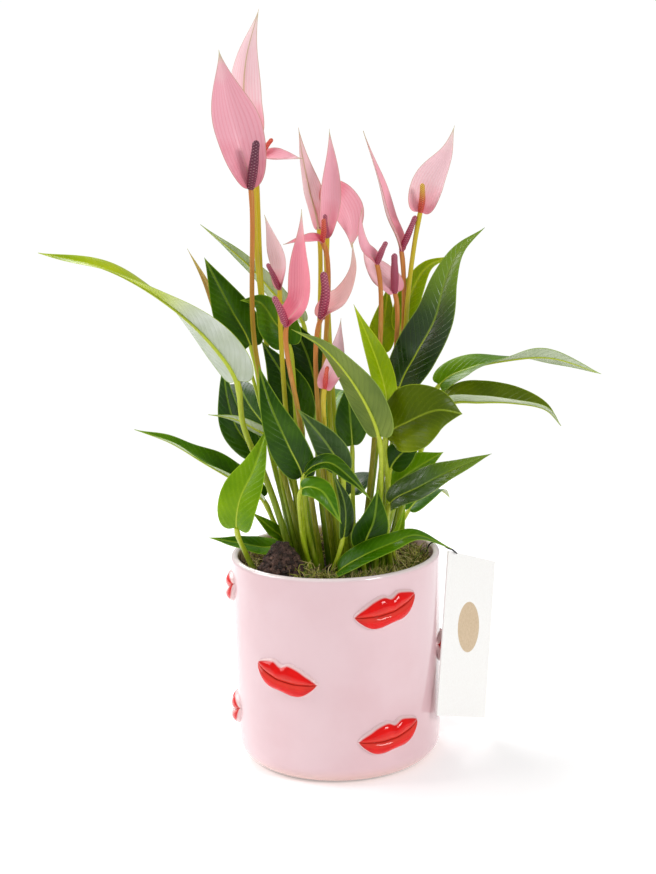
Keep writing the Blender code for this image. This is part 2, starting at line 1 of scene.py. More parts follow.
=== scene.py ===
"""Potted anthurium: the look of every leaf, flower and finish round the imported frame.

Sizes are in millimetres, in the frame's own axes; MM turns them into metres.
The pot's front looks along -Y, +Z is up, and the origin is the centre of its base.
"""
import math
import random

import bpy
import numpy as np
from mathutils import Matrix, Vector


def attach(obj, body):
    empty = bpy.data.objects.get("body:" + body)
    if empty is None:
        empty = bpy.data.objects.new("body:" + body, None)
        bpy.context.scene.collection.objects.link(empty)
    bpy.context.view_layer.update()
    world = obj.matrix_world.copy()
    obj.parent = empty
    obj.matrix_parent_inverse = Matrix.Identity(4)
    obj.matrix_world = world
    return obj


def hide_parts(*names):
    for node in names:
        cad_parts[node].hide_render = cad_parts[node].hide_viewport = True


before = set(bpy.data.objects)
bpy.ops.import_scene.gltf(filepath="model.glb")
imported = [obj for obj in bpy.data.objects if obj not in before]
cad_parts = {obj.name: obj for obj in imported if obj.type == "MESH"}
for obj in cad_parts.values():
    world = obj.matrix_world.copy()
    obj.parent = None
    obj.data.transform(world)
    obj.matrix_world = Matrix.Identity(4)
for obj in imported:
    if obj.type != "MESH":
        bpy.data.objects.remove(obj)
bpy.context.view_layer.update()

MM = 0.001

# Pot, as in the frame
POT_RADIUS = 67.0
POT_BASE_RADIUS = 65.7
POT_HEIGHT = 135.0
POT_WALL = 4.5
POT_FLOOR = 8.0
BASE_ROUNDING = 13.0
LIPS_HALF_WIDTH = 22.5
LIPS_RELIEF = 4.9
LIPS_PER_ROW = 3
LIPS_ROWS = (              # angle of the first one from the front, height, tilt, mirrored
    (27.0, 115.0, 12.0, 1),
    (-30.0, 72.0, -12.0, -1),
    (28.0, 33.0, 9.0, 1),
)

# Soil, moss and card
SOIL_RADIUS = 60.0
SOIL_TOP = 120.0
STALK_START = 121.0        # height where every stalk leaves the soil
INNER_WALL = 62.2
CARD_CORNER = (72.3, -3.8, 133.7)
CARD_ACROSS = (0.484, 0.805, -0.343)
CARD_DOWN = (-0.105, -0.336, -0.936)
DISC_PLACE = (38.2, 46.6)  # of the printed disc's centre, across and down from that corner
DISC_RADIUS = 16.5
STRING_DIAMETER = 1.0
STRING_ROUTE = (           # out of the moss, over the rim and down to the card's face
    (59.0, 10.2, 129.6), (60.0, 9.8, 131.8), (61.3, 9.2, 134.6), (63.6, 8.0, 136.2),
    (65.8, 7.0, 136.7), (67.9, 5.0, 136.4), (69.9, 3.0, 135.6), (72.0, 1.0, 134.3),
    (75.3, -1.0, 133.3), (76.9, 0.6, 131.6), (78.4, 3.6, 129.6),
)

# Blades and stalks
ROWS = 60                  # along a blade
COLUMNS = 21               # across it
WIDEST = 0.28              # where a blade is widest, as a share of its length
BLADE_THICKNESS = 0.5
STALK_SIDES = 10
SAMPLES = 16               # of a curve between two of its points

# Each leaf: stalk from its place in the soil up, blade from its heel to its tip, half width,
# the way the upper face looks at the heel and, where it turns, at the tip; then the colour of
# the upper face, the colour of the underside, and how wavy it is.
LEAVES = {
    "long_left": (
        [(-24, -12), (-40, -18, 180), (-55, -24, 223)],
        [(-58, -28, 252), (-71, -34, 275), (-95, -38, 300), (-131, -34, 322), (-176, -22, 333)], 20,
        [(0.5, 0.75, 0.45), (0.0, -0.5, 0.9)], "bright", "lime", 0.5),
    "upright_left": (
        [(-22, 2), (-41, 2, 208)], [(-50, 4, 269), (-61, 6, 291), (-70, 6, 310), (-77, 4, 325)], 12,
        [(-0.3, -0.8, 0.4)], "dark", "white", 0.3),
    "young_left": (
        [(-26, 10), (-42, 12, 213)], [(-56, 14, 265), (-68, 14, 285), (-78, 14, 310), (-88, 12, 330)],
        3.5, [(-0.3, -0.8, 0.4)], "young", "young", 0.2),
    "curled_left": (
        [(-13, 4), (-22, 0, 208)], [(-26, -3, 270), (-34, -3, 284), (-43, -6, 297), (-55, -8, 299)],
        12, [(-0.2, -0.8, 0.5)], "mid", "white", 1.0),
    "pale_behind": (
        [(-16, 18), (-21, 20, 204)], [(-17, 20, 281), (-31, 22, 295), (-50, 24, 317), (-80, 24, 344)],
        8, [(0.5, 0.7, 0.4)], "mid", "white", 0.4),
    "dark_left": (
        [(-26, 0), (-38, 2, 169)], [(-49, 4, 198), (-61, 2, 218), (-66, 0, 240), (-67, -2, 261)], 10,
        [(-0.5, -0.7, 0.3)], "dark", "white", 0.4),
    "small_left": (
        [(-21, -8), (-32, -6, 177)],
        [(-38, -5, 209), (-49, -9, 218), (-61, -12, 225), (-77, -16, 229)], 5,
        [(0.2, 0.7, 0.4), (0.1, 0.6, 0.6)], "mid", "white", 0.3),
    "bright_low_left": (
        [(-48, -22), (-56, -17, 137)],
        [(-61, -36, 161), (-58, -40, 180), (-49, -38, 198), (-40, -32, 223)], 13, [(-0.3, -0.9, 0.2)],
        "fresh", "green", 0.5),
    "drooping_left": (
        [(-24, -4), (-38, -2, 153)],
        [(-46, -2, 171), (-59, -6, 182), (-81, -10, 197), (-102, -12, 211), (-124, -12, 220)], 11,
        [(0, -0.3, 0.95), (0.1, -0.3, 0.95)], "mid", "white", 0.8),
    "over_rim_left": (
        [(-26, 6)], [(-36, 4, 136), (-47, 0, 138), (-61, -4, 142), (-81, -6, 147)], 8,
        [(0, -0.5, 0.85)], "mid", "green", 0.4),
    "tiny_left": (
        [(-26, -8)], [(-33, -8, 145), (-40, -12, 153), (-52, -18, 166)], 5, [(-0.3, -0.6, 0.7)],
        "fresh", "green", 0.3),
    "front_left": (
        [(-10, -22), (-18, -30, 163)],
        [(-19, -38, 193), (-27, -44, 214), (-37, -44, 239), (-44, -36, 263)], 12, [(-0.25, -0.9, 0.3)],
        "dark", "white", 0.4),
    "inner_left": (
        [(-4, 10), (-10, 12, 185)], [(-9, 12, 231), (-13, 10, 256), (-24, 8, 285)], 9,
        [(-0.3, -0.8, 0.5)], "dark", "white", 0.4),
    "inner_far_left": (
        [(-12, 8), (-18, 8, 180)], [(-20, 6, 220), (-28, 4, 245), (-43, 2, 272)], 11,
        [(-0.4, -0.8, 0.4)], "dark", "white", 0.4),
    "arching_centre": (
        [(24, -20), (29, -36, 183)],
        [(28, -48, 219), (21, -52, 239), (8, -54, 261), (-6, -50, 276), (-23, -42, 285)], 12,
        [(0.4, 0.8, 0.4), (0.3, 0.6, 0.7)], "dark", "green", 0.3),
    "folded_centre": (
        [(20, -4), (29, -14, 184)], [(34, -22, 235), (29, -26, 259), (15, -26, 297)], 9,
        [(0.5, -0.8, 0.3)], "bright", "green", 0.3),
    "bright_right": (
        [(24, 16), (40, 18, 209)], [(45, 18, 274), (53, 18, 299), (63, 18, 314), (80, 14, 321)], 8,
        [(0.2, -0.7, 0.6)], "bright", "green", 0.4),
    "inner_right": (
        [(18, 20), (30, 20, 209)], [(32, 20, 261), (35, 20, 281), (38, 18, 303)], 7, [(0, -0.9, 0.3)],
        "bright", "green", 0.3),
    "glossy_right": (
        [(26, 0), (36, 0, 187)],
        [(43, -8, 242), (53, -14, 263), (65, -16, 285), (72, -14, 309), (81, -12, 327), (97, -8, 340)],
        13, [(-0.1, -0.9, 0.4), (-0.5, -0.8, 0.3)], "glossy", "white", 0.5),
    "high_right": (
        [(32, 8), (49, 8, 185)],
        [(69, 6, 240), (88, 2, 251), (110, -2, 256), (138, -4, 257), (170, -4, 246)], 13,
        [(0.1, -0.6, 0.8), (0.1, 0.3, 0.9)], "fresh", "white", 0.6),
    "far_right": (
        [(32, -4), (49, -4, 181)],
        [(72, -11, 230), (93, -18, 233), (114, -20, 232), (133, -19, 227), (143, -16, 216)], 13.5,
        [(0.1, -0.7, 0.7), (0.1, -0.6, 0.8)], "olive", "white", 0.5),
    "round_right": (
        [(30, -14), (34, -24, 180)], [(33, -36, 216), (47, -44, 227), (64, -48, 234), (79, -46, 231)],
        17, [(0.1, -0.85, 0.5)], "olive", "white", 0.5),
    "pale_low_right": (
        [(34, -8), (34, -10, 157)], [(37, -12, 178), (47, -17, 188), (69, -20, 202)], 8,
        [(0, -0.7, 0.7)], "fresh", "green", 0.5),
    "low_right": (
        [(36, -16), (33, -24, 154)], [(35, -32, 173), (53, -40, 185), (71, -44, 195), (97, -42, 205)],
        10, [(0, -0.6, 0.8)], "glossy", "green", 0.5),
    "tiny_right": (
        [(39, -2)], [(37, -11, 140), (41, -13, 151), (45, -15, 167)], 3.5, [(0, -0.9, 0.3)], "fresh",
        "green", 0.3),
    "front_right": (
        [(18, -28)], [(18, -38, 148), (24, -42, 165), (27, -42, 185)], 8, [(0.2, -0.9, 0.3)], "dark",
        "green", 0.2),
    "on_moss": (
        [(4, -34)], [(1, -46, 133), (16, -50, 144), (35, -50, 152), (49, -48, 156), (72, -40, 145)],
        7.5, [(0, -0.4, 0.9)], "mid", "green", 0.2),
    "narrow_front": (
        [(-6, -36)], [(5, -42, 155), (6, -45, 176), (-1, -40, 197)], 5.5, [(0.7, -0.6, 0.1)], "slate",
        "green", 0.2),
    "arching_front": (
        [(-16, -18), (-20, -34, 164)],
        [(-17, -48, 197), (-3, -56, 205), (11, -60, 195), (22, -62, 183)], 7, [(0, -0.5, 0.85)],
        "dark", "green", 0.4),
    "hanging_front": (
        [(-14, -28), (-21, -42, 163)], [(-19, -54, 189), (-8, -60, 189), (4, -64, 169)], 7,
        [(-0.1, -0.8, 0.6)], "mid", "green", 0.3),
    "inner_centre": (
        [(12, -14), (12, -20, 173)], [(12, -28, 210), (11, -32, 229), (10, -32, 250)], 7,
        [(0.2, -0.9, 0.2)], "dark", "white", 0.3),
    "slate_centre": (
        [(8, -20), (6, -30, 163)], [(5, -38, 196), (-3, -42, 213), (-21, -40, 236)], 8,
        [(-0.3, -0.7, 0.5)], "slate", "white", 0.4),
    "under_round": (
        [(30, -10), (34, -15, 164)], [(36, -21, 193), (45, -24, 205), (59, -26, 218)], 9,
        [(0.2, -0.8, 0.5)], "dark", "green", 0.4),
    "back_centre": (
        [(0, 26), (-3, 44, 157)], [(-2, 60, 195), (3, 92, 216), (10, 125, 216), (15, 150, 198)], 15,
        [(0, -0.3, 0.95), (0, 0.5, 0.85)], "mid", "white", 0.7),
    "back_left": (
        [(-16, 26), (-29, 44, 158)],
        [(-40, 60, 196), (-56, 86, 215), (-65, 112, 225), (-70, 135, 216)], 13,
        [(-0.3, -0.2, 0.9), (-0.3, 0.5, 0.8)], "dark", "white", 0.6),
    "back_right": (
        [(28, 24), (41, 40, 157)], [(49, 56, 194), (64, 82, 206), (76, 108, 208), (84, 130, 194)], 13,
        [(0.3, -0.2, 0.9), (0.3, 0.5, 0.8)], "fresh", "white", 0.6),
    "back_low": (
        [(8, 32), (10, 46, 143)], [(12, 62, 156), (16, 88, 162), (12, 112, 158), (8, 132, 143)], 11,
        [(0, -0.3, 0.95), (0, 0.5, 0.85)], "dark", "white", 0.6),
    "back_low_right": (
        [(36, 20), (44, 38, 140)], [(50, 50, 147), (62, 70, 153), (74, 90, 151), (82, 108, 141)], 9,
        [(0.2, -0.3, 0.9), (0.2, 0.4, 0.9)], "mid", "white", 0.5),
}

# Each flower: stalk, blade, half width and faces as a leaf, the rod's route on from the heel
# and its radius; then the colours of the face, the back, the stalk and the rod.
# The drooping one folds shut round its rod, so none shows.
FLOWERS = {
    "tall_left": (
        [(-17, -11), (-36, -11, 211), (-47, -11, 274)],
        [(-46, -10, 368), (-51, -10, 392), (-59, -3, 424), (-63, 3, 451)], 15, [(0.3, -0.95, 0.2)],
        [(-43, -19, 384), (-41, -23, 397)], 2.7, "pink", "soft", "warm", "dark"),
    "tall_behind": (
        [(-10, 14), (-34, 16, 205), (-42, 16, 296)],
        [(-44, 14, 395), (-49, 16, 421), (-47, 16, 445), (-38, 12, 475)], 9, [(0.2, 0.9, 0.3)],
        [(-43, 24, 403), (-42, 28, 409)], 2, "soft", "soft", "olive", "mauve"),
    "young_left": (
        [(-15, 12), (-30, 9, 206), (-41, 7, 278)], [(-41, 5, 384), (-28, -4, 385), (-14, -12, 385)], 5,
        [(-0.3, -0.3, 0.9), (-0.1, -0.3, 0.9)], [(-37, 3, 391), (-32, 3, 397)], 1.6, "pink", "pink",
        "olive", "red"),
    "pale_left": (
        [(-20, -4), (-29, -14, 237)], [(-30, -16, 306), (-28, -16, 323), (-38, -16, 352)], 6.5,
        [(-0.8, -0.6, 0.1)], [(-33, -20, 314), (-37, -22, 323)], 1.6, "soft", "soft", "olive", "mauve"),
    "front_left": (
        [(-8, -16), (-20, -34, 228)],
        [(-26, -40, 287), (-16, -40, 302), (-15, -38, 332), (-15, -34, 356)], 9, [(-0.75, -0.65, 0.1)],
        [(-29, -46, 297), (-33, -49, 306)], 2.2, "rose", "pink", "warm", "mauve"),
    "centre": (
        [(0, -12), (-8, -28, 220)], [(-5, -32, 290), (10, -30, 302), (16, -30, 318), (15, -28, 335)],
        9, [(-0.8, -0.5, 0.3)], [(-2, -38, 306), (-3, -40, 319)], 2.7, "peach", "peach", "warm",
        "mauve"),
    "young_centre": (
        [(2, 4), (-6, -4, 215)], [(-3, -14, 334), (-15, -18, 336), (-27, -20, 334)], 3.5,
        [(0.2, -0.5, 0.85)], [(-2, -17, 342), (-2, -19, 349)], 1.6, "rose", "pink", "warm", "red"),
    "pale_centre": (
        [(-4, 18), (-9, 18, 210)], [(-5, 12, 340), (-10, 14, 364), (-14, 14, 386), (-16, 12, 403)], 6,
        [(0.4, 0.7, 0.5)], [(-3, 20, 348), (-2, 24, 354)], 1.7, "rose", "soft", "olive", "mauve"),
    "tall_centre": (
        [(5, 8), (-1, 8, 212)], [(0, -4, 336), (3, 0, 356), (4, 2, 380), (3, 4, 402)], 6.5,
        [(-0.2, -0.95, 0.2)], [(-1, -10, 344), (-1, -12, 351)], 1.6, "pink", "pink", "olive", "mauve"),
    "drooping": (
        [(10, 14), (2, 16, 215), (-1, 14, 335)],
        [(0, 12, 355), (5, 10, 361), (11, 8, 353), (15, 6, 340), (15, 6, 328)], 8,
        [(0.3, -0.8, 0.5), (0.3, -0.8, 0.3)], [], 0, "pink", "soft", "olive", "mauve"),
    "narrow_right": (
        [(24, 8), (41, 8, 211)], [(46, 4, 326), (38, 8, 348), (33, 10, 370), (24, 10, 400)], 5,
        [(0.9, -0.3, 0.2)], [(51, 0, 338), (55, -2, 348)], 1.9, "pink", "soft", "warm", "mauve"),
    "tall_right": (
        [(28, 4), (43, 3, 212), (50, 1, 302)],
        [(58, 0, 350), (64, 2, 368), (75, 3, 386), (80, 3, 402)], 10,
        [(-0.1, -0.95, 0.2), (-0.2, -0.9, 0.2)], [(59, -6, 359), (59, -8, 368)], 1.8, "soft", "soft",
        "olive", "orange"),
    "inner_right": (
        [(16, 6), (27, 0, 213)], [(30, -13, 320), (22, -12, 330), (20, -9, 342), (22, -6, 354)], 5,
        [(0.7, -0.6, 0.3)], [(33, -17, 328), (36, -19, 334)], 1.8, "pink", "soft", "warm", "mauve"),
    "pale_right": (
        [(22, 2), (35, 0, 213)], [(41, -4, 301), (32, 0, 311), (25, 2, 322), (22, 2, 333)], 9,
        [(0.3, -0.8, 0.5)], [(41, -9, 314), (41, -11, 326)], 2.3, "soft", "soft", "warm", "mauve"),
    "low_young": (
        [(6, -17), (-3, -28, 201)], [(-4, -41, 248), (2, -42, 261), (5, -40, 274), (7, -35, 290)], 6.5,
        [(-0.2, -0.95, 0.2)], [(-3, -47, 257), (-2, -49, 263)], 1.4, "soft", "pink", "olive", "red"),
}

# The upper faces: shaded, main and sunny colour; the undersides: main and shaded
UPPER_COLOURS = {
    "dark": ("#102C00", "#264A00", "#4E780A"),
    "glossy": ("#142E00", "#2C4C02", "#54780C"),
    "mid": ("#244C00", "#407000", "#6C9A0A"),
    "fresh": ("#3E6A00", "#628E00", "#90B60C"),
    "bright": ("#729000", "#9CB800", "#C8D40A"),
    "olive": ("#3E5200", "#5A6E02", "#84940C"),
    "pale": ("#5F7C30", "#789248", "#9DB46C"),
    "slate": ("#243C12", "#3A5426", "#64804A"),
    "young": ("#A86A32", "#CC9058", "#E0B078"),
}
UNDER_COLOURS = {
    "white": ("#D3DDC2", "#A4B884"),
    "lime": ("#C4D434", "#A6B83C"),
    "green": ("#84963C", "#62782A"),
    "young": ("#D8A878", "#B07844"),
}
SPATHE_COLOURS = {         # at the heel, over the blade, towards the tip
    "pink": ("#F07A8E", "#FFB8C6", "#FFD4D8"),
    "rose": ("#EE6680", "#FF9CAE", "#FFC6CA"),
    "soft": ("#FA9CAE", "#FFD6DC", "#FFE8E4"),
    "peach": ("#FAB0B0", "#FFD2CE", "#FAE4D8"),
}
ROD_COLOURS = {            # at the heel and at the end
    "mauve": ("#B03C5C", "#B4586E"),
    "dark": ("#7A2A48", "#6B3048"),
    "red": ("#D83A30", "#E4603C"),
    "orange": ("#D8482A", "#E8B838"),
}
# Blades that open wider than their CAD solid, and those that are widest further up
WIDER = {
    "leaf_inner_left": 1.45, "leaf_inner_centre": 1.5, "leaf_inner_far_left": 1.3,
    "leaf_dark_left": 1.1, "leaf_round_right": 1.2, "leaf_upright_left": 1.1,
    "leaf_glossy_right": 1.1, "leaf_slate_centre": 1.2, "leaf_on_moss": 1.35,
    "leaf_front_right": 1.35, "leaf_narrow_front": 1.3, "leaf_pale_low_right": 1.4,
    "leaf_arching_centre": 1.1, "leaf_low_right": 1.15, "leaf_inner_right": 1.25,
    "leaf_back_centre": 1.2, "flower_young_left": 1.45, "flower_pale_left": 1.3,
    "flower_front_left": 1.12, "flower_pale_centre": 1.3, "flower_drooping": 1.35,
    "flower_narrow_right": 1.55, "flower_young_centre": 1.2, "flower_tall_behind": 1.12,
}
WIDEST_AT = {
    "leaf_round_right": 0.45, "leaf_pale_low_right": 0.4, "leaf_inner_left": 0.4,
    "leaf_inner_centre": 0.4, "flower_tall_left": 0.42, "flower_tall_behind": 0.36,
    "flower_tall_centre": 0.38, "flower_front_left": 0.36, "flower_young_left": 0.4,
    "flower_drooping": 0.42, "flower_pale_left": 0.4,
}
# Blades that fold up sharply or turn over: how steep the fold, and where the face looks
FOLDED = {
    "leaf_far_right": (0.95, [(0.05, -0.2, 1.0), (0.05, -0.25, 1.0)]),
    "leaf_drooping_left": (0.85, [(0.0, -0.3, 1.0), (0.0, -0.2, 1.0)]),
    "leaf_high_right": (0.46, [(0.1, -0.6, 0.8), (0.1, 0.95, 0.3)]),
}


def srgb(code):
    """A linear colour from its usual six-digit code."""
    parts = [int(code[i:i + 2], 16) / 255 for i in (1, 3, 5)]
    return tuple(c / 12.92 if c < 0.04045 else ((c + 0.055) / 1.055) ** 2.4 for c in parts) + (1.0,)


# ---------------------------------------------------------------- curves and meshes

def unit(vector):
    vector = np.asarray(vector, float)
    return vector / np.linalg.norm(vector)


def smooth_curve(points, samples=SAMPLES):
    """A centripetal Catmull-Rom curve through the points."""
    points = np.asarray(points, float)
    if len(points) == 2:
        points = np.array([points[0], points.mean(axis=0), points[1]])
    padded = np.vstack([2 * points[0] - points[1], points, 2 * points[-1] - points[-2]])
    curve = []
    for i in range(1, len(padded) - 2):
        quad = padded[i - 1:i + 3]
        knots = np.concatenate([[0.0], np.cumsum(np.linalg.norm(np.diff(quad, axis=0), axis=1) ** 0.5)])
        for t in np.linspace(knots[1], knots[2], samples, endpoint=False):
            layer = quad
            for depth in (1, 2, 3):
                first, last = (0, depth) if depth < 3 else (1, 2)
                layer = [
                    (knots[k + last] - t) / (knots[k + last] - knots[k + first]) * layer[k]
                    + (t - knots[k + first]) / (knots[k + last] - knots[k + first]) * layer[k + 1]
                    for k in range(len(layer) - 1)
                ]
            curve.append(layer[0])
    curve.append(points[-1])
    return np.array(curve)


def points_at(curve, shares):
    """Points at these shares of a curve's length, and the length."""
    lengths = np.concatenate([[0.0], np.cumsum(np.linalg.norm(np.diff(curve, axis=0), axis=1))])
    places = np.asarray(shares) * lengths[-1]
    points = np.stack([np.interp(places, lengths, curve[:, axis]) for axis in range(3)], axis=1)
    return points, lengths[-1]


def tangents(path):
    along = np.gradient(path, axis=0)
    return along / np.linalg.norm(along, axis=1)[:, None]


def link(name, data):
    """A new object of this data, in the scene."""
    made = bpy.data.objects.new(name, data)
    bpy.context.scene.collection.objects.link(made)
    return made


class Shape:
    """Points and faces gathered from several surfaces, each with a material and two UV maps."""

    def __init__(self):
        self.points, self.faces, self.slots, self.coords = [], [], [], []
        self.count = 0

    def add(self, points, faces, slot, coords=(0, 0, 0, 0)):
        """coords holds four numbers for each point: UV map "place", then UV map "lines"."""
        points = np.asarray(points, float).reshape(-1, 3)
        coords = np.broadcast_to(np.asarray(coords, float), (len(points), 4))
        self.points.append(points)
        self.coords.append(coords)
        self.faces += [tuple(self.count + k for k in face) for face in faces]
        self.slots += [slot] * len(faces)
        self.count += len(points)

    def make(self, name, paints, sharp=50):
        mesh = bpy.data.meshes.new(name)
        mesh.from_pydata(np.vstack(self.points) * MM, [], self.faces)
        for paint in paints:
            mesh.materials.append(paint)
        mesh.polygons.foreach_set("material_index", self.slots)
        corner = np.empty(len(mesh.loops), dtype=np.int32)
        mesh.loops.foreach_get("vertex_index", corner)
        coords = np.vstack(self.coords)[corner]
        for layer_name, columns in (("place", (0, 1)), ("lines", (2, 3))):
            layer = mesh.uv_layers.new(name=layer_name)
            layer.uv.foreach_set("vector", coords[:, columns].astype(np.float32).ravel())
        mesh.shade_smooth()
        mesh.set_sharp_from_angle(angle=math.radians(sharp))
        return link(name, mesh)


def grid(rows, columns, closed=False, flip=False):
    """Quads of a rows by columns grid of points; closed joins the last column to the first."""
    quads = []
    for i in range(rows - 1):
        for k in range(columns if closed else columns - 1):
            a, b = i * columns + k, i * columns + (k + 1) % columns
            quad = (a, b, b + columns, a + columns)
            quads.append(quad[::-1] if flip else quad)
    return quads


def capped_tube(rings, sides):
    """Outward faces of a tube of rings, with a polygon over each end."""
    last = (rings - 1) * sides
    ends = [tuple(range(sides - 1, -1, -1)), tuple(last + k for k in range(sides))]
    return grid(rings, sides, closed=True) + ends


def rings_along(path, hint):
    """Each point of a path, with two directions square to the path that don't twist."""
    along = tangents(path)
    side = unit(np.cross(along[0], hint))
    for point, ahead in zip(path, along):
        side = unit(side - side.dot(ahead) * ahead)
        yield point, side, np.cross(ahead, side)


def tube(path, radii, sides):
    """Points and outward faces of a round tube with closed ends."""
    angles = 2 * math.pi * np.arange(sides) / sides
    rings = [
        point + radius * (np.outer(np.cos(angles), side) + np.outer(np.sin(angles), front))
        for (point, side, front), radius in zip(rings_along(path, (0.3, 0.8, 0.5)), radii)
    ]
    return np.vstack(rings), capped_tube(len(path), sides)


def ride(piece, slot, *nodes):
    """The piece rides on the plant's one body, and stands for the nodes it names."""
    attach(piece, "root")
    if nodes:
        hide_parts(*nodes)
    return piece


# ---------------------------------------------------------------- materials

class Paint:
    """One material's nodes, with a short call for each kind."""

    def __init__(self, name):
        self.material = bpy.data.materials.new(name)
        self.material.use_nodes = True
        self.nodes = self.material.node_tree.nodes
        self.links = self.material.node_tree.links
        self.shader = self.nodes["Principled BSDF"]

    def put(self, socket, value):
        """A socket's input: another socket, a number, or a colour as numbers or as its code."""
        if isinstance(value, bpy.types.NodeSocket):
            self.links.new(value, socket)
        else:
            socket.default_value = srgb(value) if isinstance(value, str) else value

    def set(self, **values):
        """Shader sockets by name, with _ for a space."""
        for name, value in values.items():
            self.put(self.shader.inputs[name.replace("_", " ")], value)

    def math(self, operation, *values):
        made = self.nodes.new("ShaderNodeMath")
        made.operation = operation
        for socket, value in zip(made.inputs, values):
            self.put(socket, value)
        return made.outputs[0]

    def step(self, value, low, high, to_low=0.0, to_high=1.0):
        """A smooth step from to_low to to_high as the value goes from low to high."""
        made = self.nodes.new("ShaderNodeMapRange")
        made.interpolation_type = "SMOOTHSTEP"
        for socket, number in zip(made.inputs, (value, low, high, to_low, to_high)):
            self.put(socket, number)
        return made.outputs[0]

    def mix(self, share, first, second):
        made = self.nodes.new("ShaderNodeMix")
        made.data_type = "RGBA"
        self.put(made.inputs[0], share)
        self.put(made.inputs[6], first)
        self.put(made.inputs[7], second)
        return made.outputs[2]

    def ramp(self, value, *stops):
        """Colours at these places, as (place, colour) pairs."""
        made = self.nodes.new("ShaderNodeValToRGB")
        ramp = made.color_ramp
        while len(ramp.elements) < len(stops):
            ramp.elements.new(0.5)
        for element, (place, colour) in zip(ramp.elements, stops):
            element.position = place
            element.color = srgb(colour)
        self.put(made.inputs[0], value)
        return made.outputs[0]

    def where(self):
        return self.nodes.new("ShaderNodeTexCoord").outputs["Object"]

    def noise(self, scale, detail=3.0, roughness=0.55, stretch=None):
        made = self.nodes.new("ShaderNodeTexNoise")
        place = self.where()
        if stretch:
            mapping = self.nodes.new("ShaderNodeMapping")
            self.put(mapping.inputs["Vector"], place)
            mapping.inputs["Scale"].default_value = stretch
            place = mapping.outputs[0]
        self.put(made.inputs["Vector"], place)
        made.inputs["Scale"].default_value = scale
        made.inputs["Detail"].default_value = detail
        made.inputs["Roughness"].default_value = roughness
        return made.outputs[0]

    def uv(self, layer):
        chosen = self.nodes.new("ShaderNodeUVMap")
        chosen.uv_map = layer
        split = self.nodes.new("ShaderNodeSeparateXYZ")
        self.put(split.inputs[0], chosen.outputs[0])
        return split.outputs[0], split.outputs[1]

    def tint(self, colour, mask, amount, other):
        """The colour, with as much of the other one as the mask times the amount."""
        return self.mix(self.math("MULTIPLY", mask, amount), colour, other)

    def finish(self, colour, mottle, smooth, rough, **others):
        """The colour, with a roughness that follows the mottle."""
        self.set(Base_Color=colour, Roughness=self.step(mottle, 0.2, 0.8, smooth, rough), **others)

    def bump(self, height, strength, distance):
        made = self.nodes.new("ShaderNodeBump")
        made.inputs["Strength"].default_value = strength
        made.inputs["Distance"].default_value = distance
        self.put(made.inputs["Height"], height)
        self.set(Normal=made.outputs[0])


def margin_gap(paint, across, inside):
    """Distance to a blade's edge, from the place across it and the distance to its midrib."""
    share = paint.math("MAXIMUM", paint.math("ABSOLUTE", across), 0.02)
    return paint.math("SUBTRACT", paint.math("DIVIDE", inside, share), inside)


def blade_lines(paint):
    """Masks of a blade's midrib, side veins and margin, all 0 to 1."""
    across, _ = paint.uv("place")
    inside, run = paint.uv("lines")
    inside = paint.math("ABSOLUTE", inside)
    margin = margin_gap(paint, across, inside)
    wander = paint.math("MULTIPLY", paint.noise(70.0, 1.0), 1.6)
    wave = paint.math("PINGPONG", paint.math("ADD", run, wander), 2.7)
    return {
        "midrib": paint.step(inside, 0.35, 0.95, 1.0, 0.0),
        "veins": paint.step(wave, 0.0, 0.55, 1.0, 0.0),
        "soft": paint.step(wave, 0.0, 2.7, 0.0, 1.0),
        "margin": paint.step(margin, 0.2, 0.75, 1.0, 0.0),
    }


def upper_leaf(kind):
    shade, main, sunny = UPPER_COLOURS[kind]
    paint = Paint("leaf_upper_" + kind)
    lines = blade_lines(paint)
    cloud = paint.noise(16.0, 3.0)
    fine = paint.noise(260.0, 2.0)
    colour = paint.ramp(cloud, (0.30, shade), (0.50, main), (0.72, sunny))
    colour = paint.tint(colour, lines["soft"], 0.16, shade)
    colour = paint.tint(colour, lines["veins"], 0.16, sunny)
    if kind == "glossy":       # brighter and softer towards the tip
        _, along = paint.uv("place")
        colour = paint.mix(paint.step(along, 0.4, 0.75, 0.0, 0.75), colour, "#7C9E0E")
    pale = paint.mix(0.4, sunny, "#B4D040")
    colour = paint.tint(colour, lines["midrib"], 0.6, pale)
    colour = paint.tint(colour, lines["margin"], 0.8, pale)
    paint.finish(colour, fine, 0.24, 0.36, Specular_IOR_Level=0.6 if kind == "glossy" else 0.16)
    height = paint.math("SUBTRACT", paint.math("MULTIPLY", fine, 0.15), lines["veins"])
    paint.bump(paint.math("SUBTRACT", height, lines["midrib"]), 0.35, 0.0005)
    return paint.material


def under_leaf(kind):
    main, shade = UNDER_COLOURS[kind]
    paint = Paint("leaf_under_" + kind)
    lines = blade_lines(paint)
    cloud = paint.noise(22.0, 3.0)
    if kind == "lime":         # pale at the heel, bright further out
        _, along = paint.uv("place")
        main = paint.mix(paint.step(along, 0.28, 0.5), "#E0E6DE", main)
        shade = paint.mix(paint.step(along, 0.28, 0.5), "#B8C4A8", shade)
    colour = paint.mix(paint.step(cloud, 0.35, 0.7), main, shade)
    colour = paint.tint(colour, lines["veins"], 0.45, shade)
    green = "#9DB84A"
    colour = paint.tint(colour, lines["midrib"], 0.5, green)
    colour = paint.tint(colour, lines["margin"], 0.8, green)
    paint.finish(colour, cloud, 0.38, 0.52, Specular_IOR_Level=0.3)
    paint.bump(paint.math("ADD", lines["veins"], lines["soft"]), 0.4, 0.0005)
    return paint.material


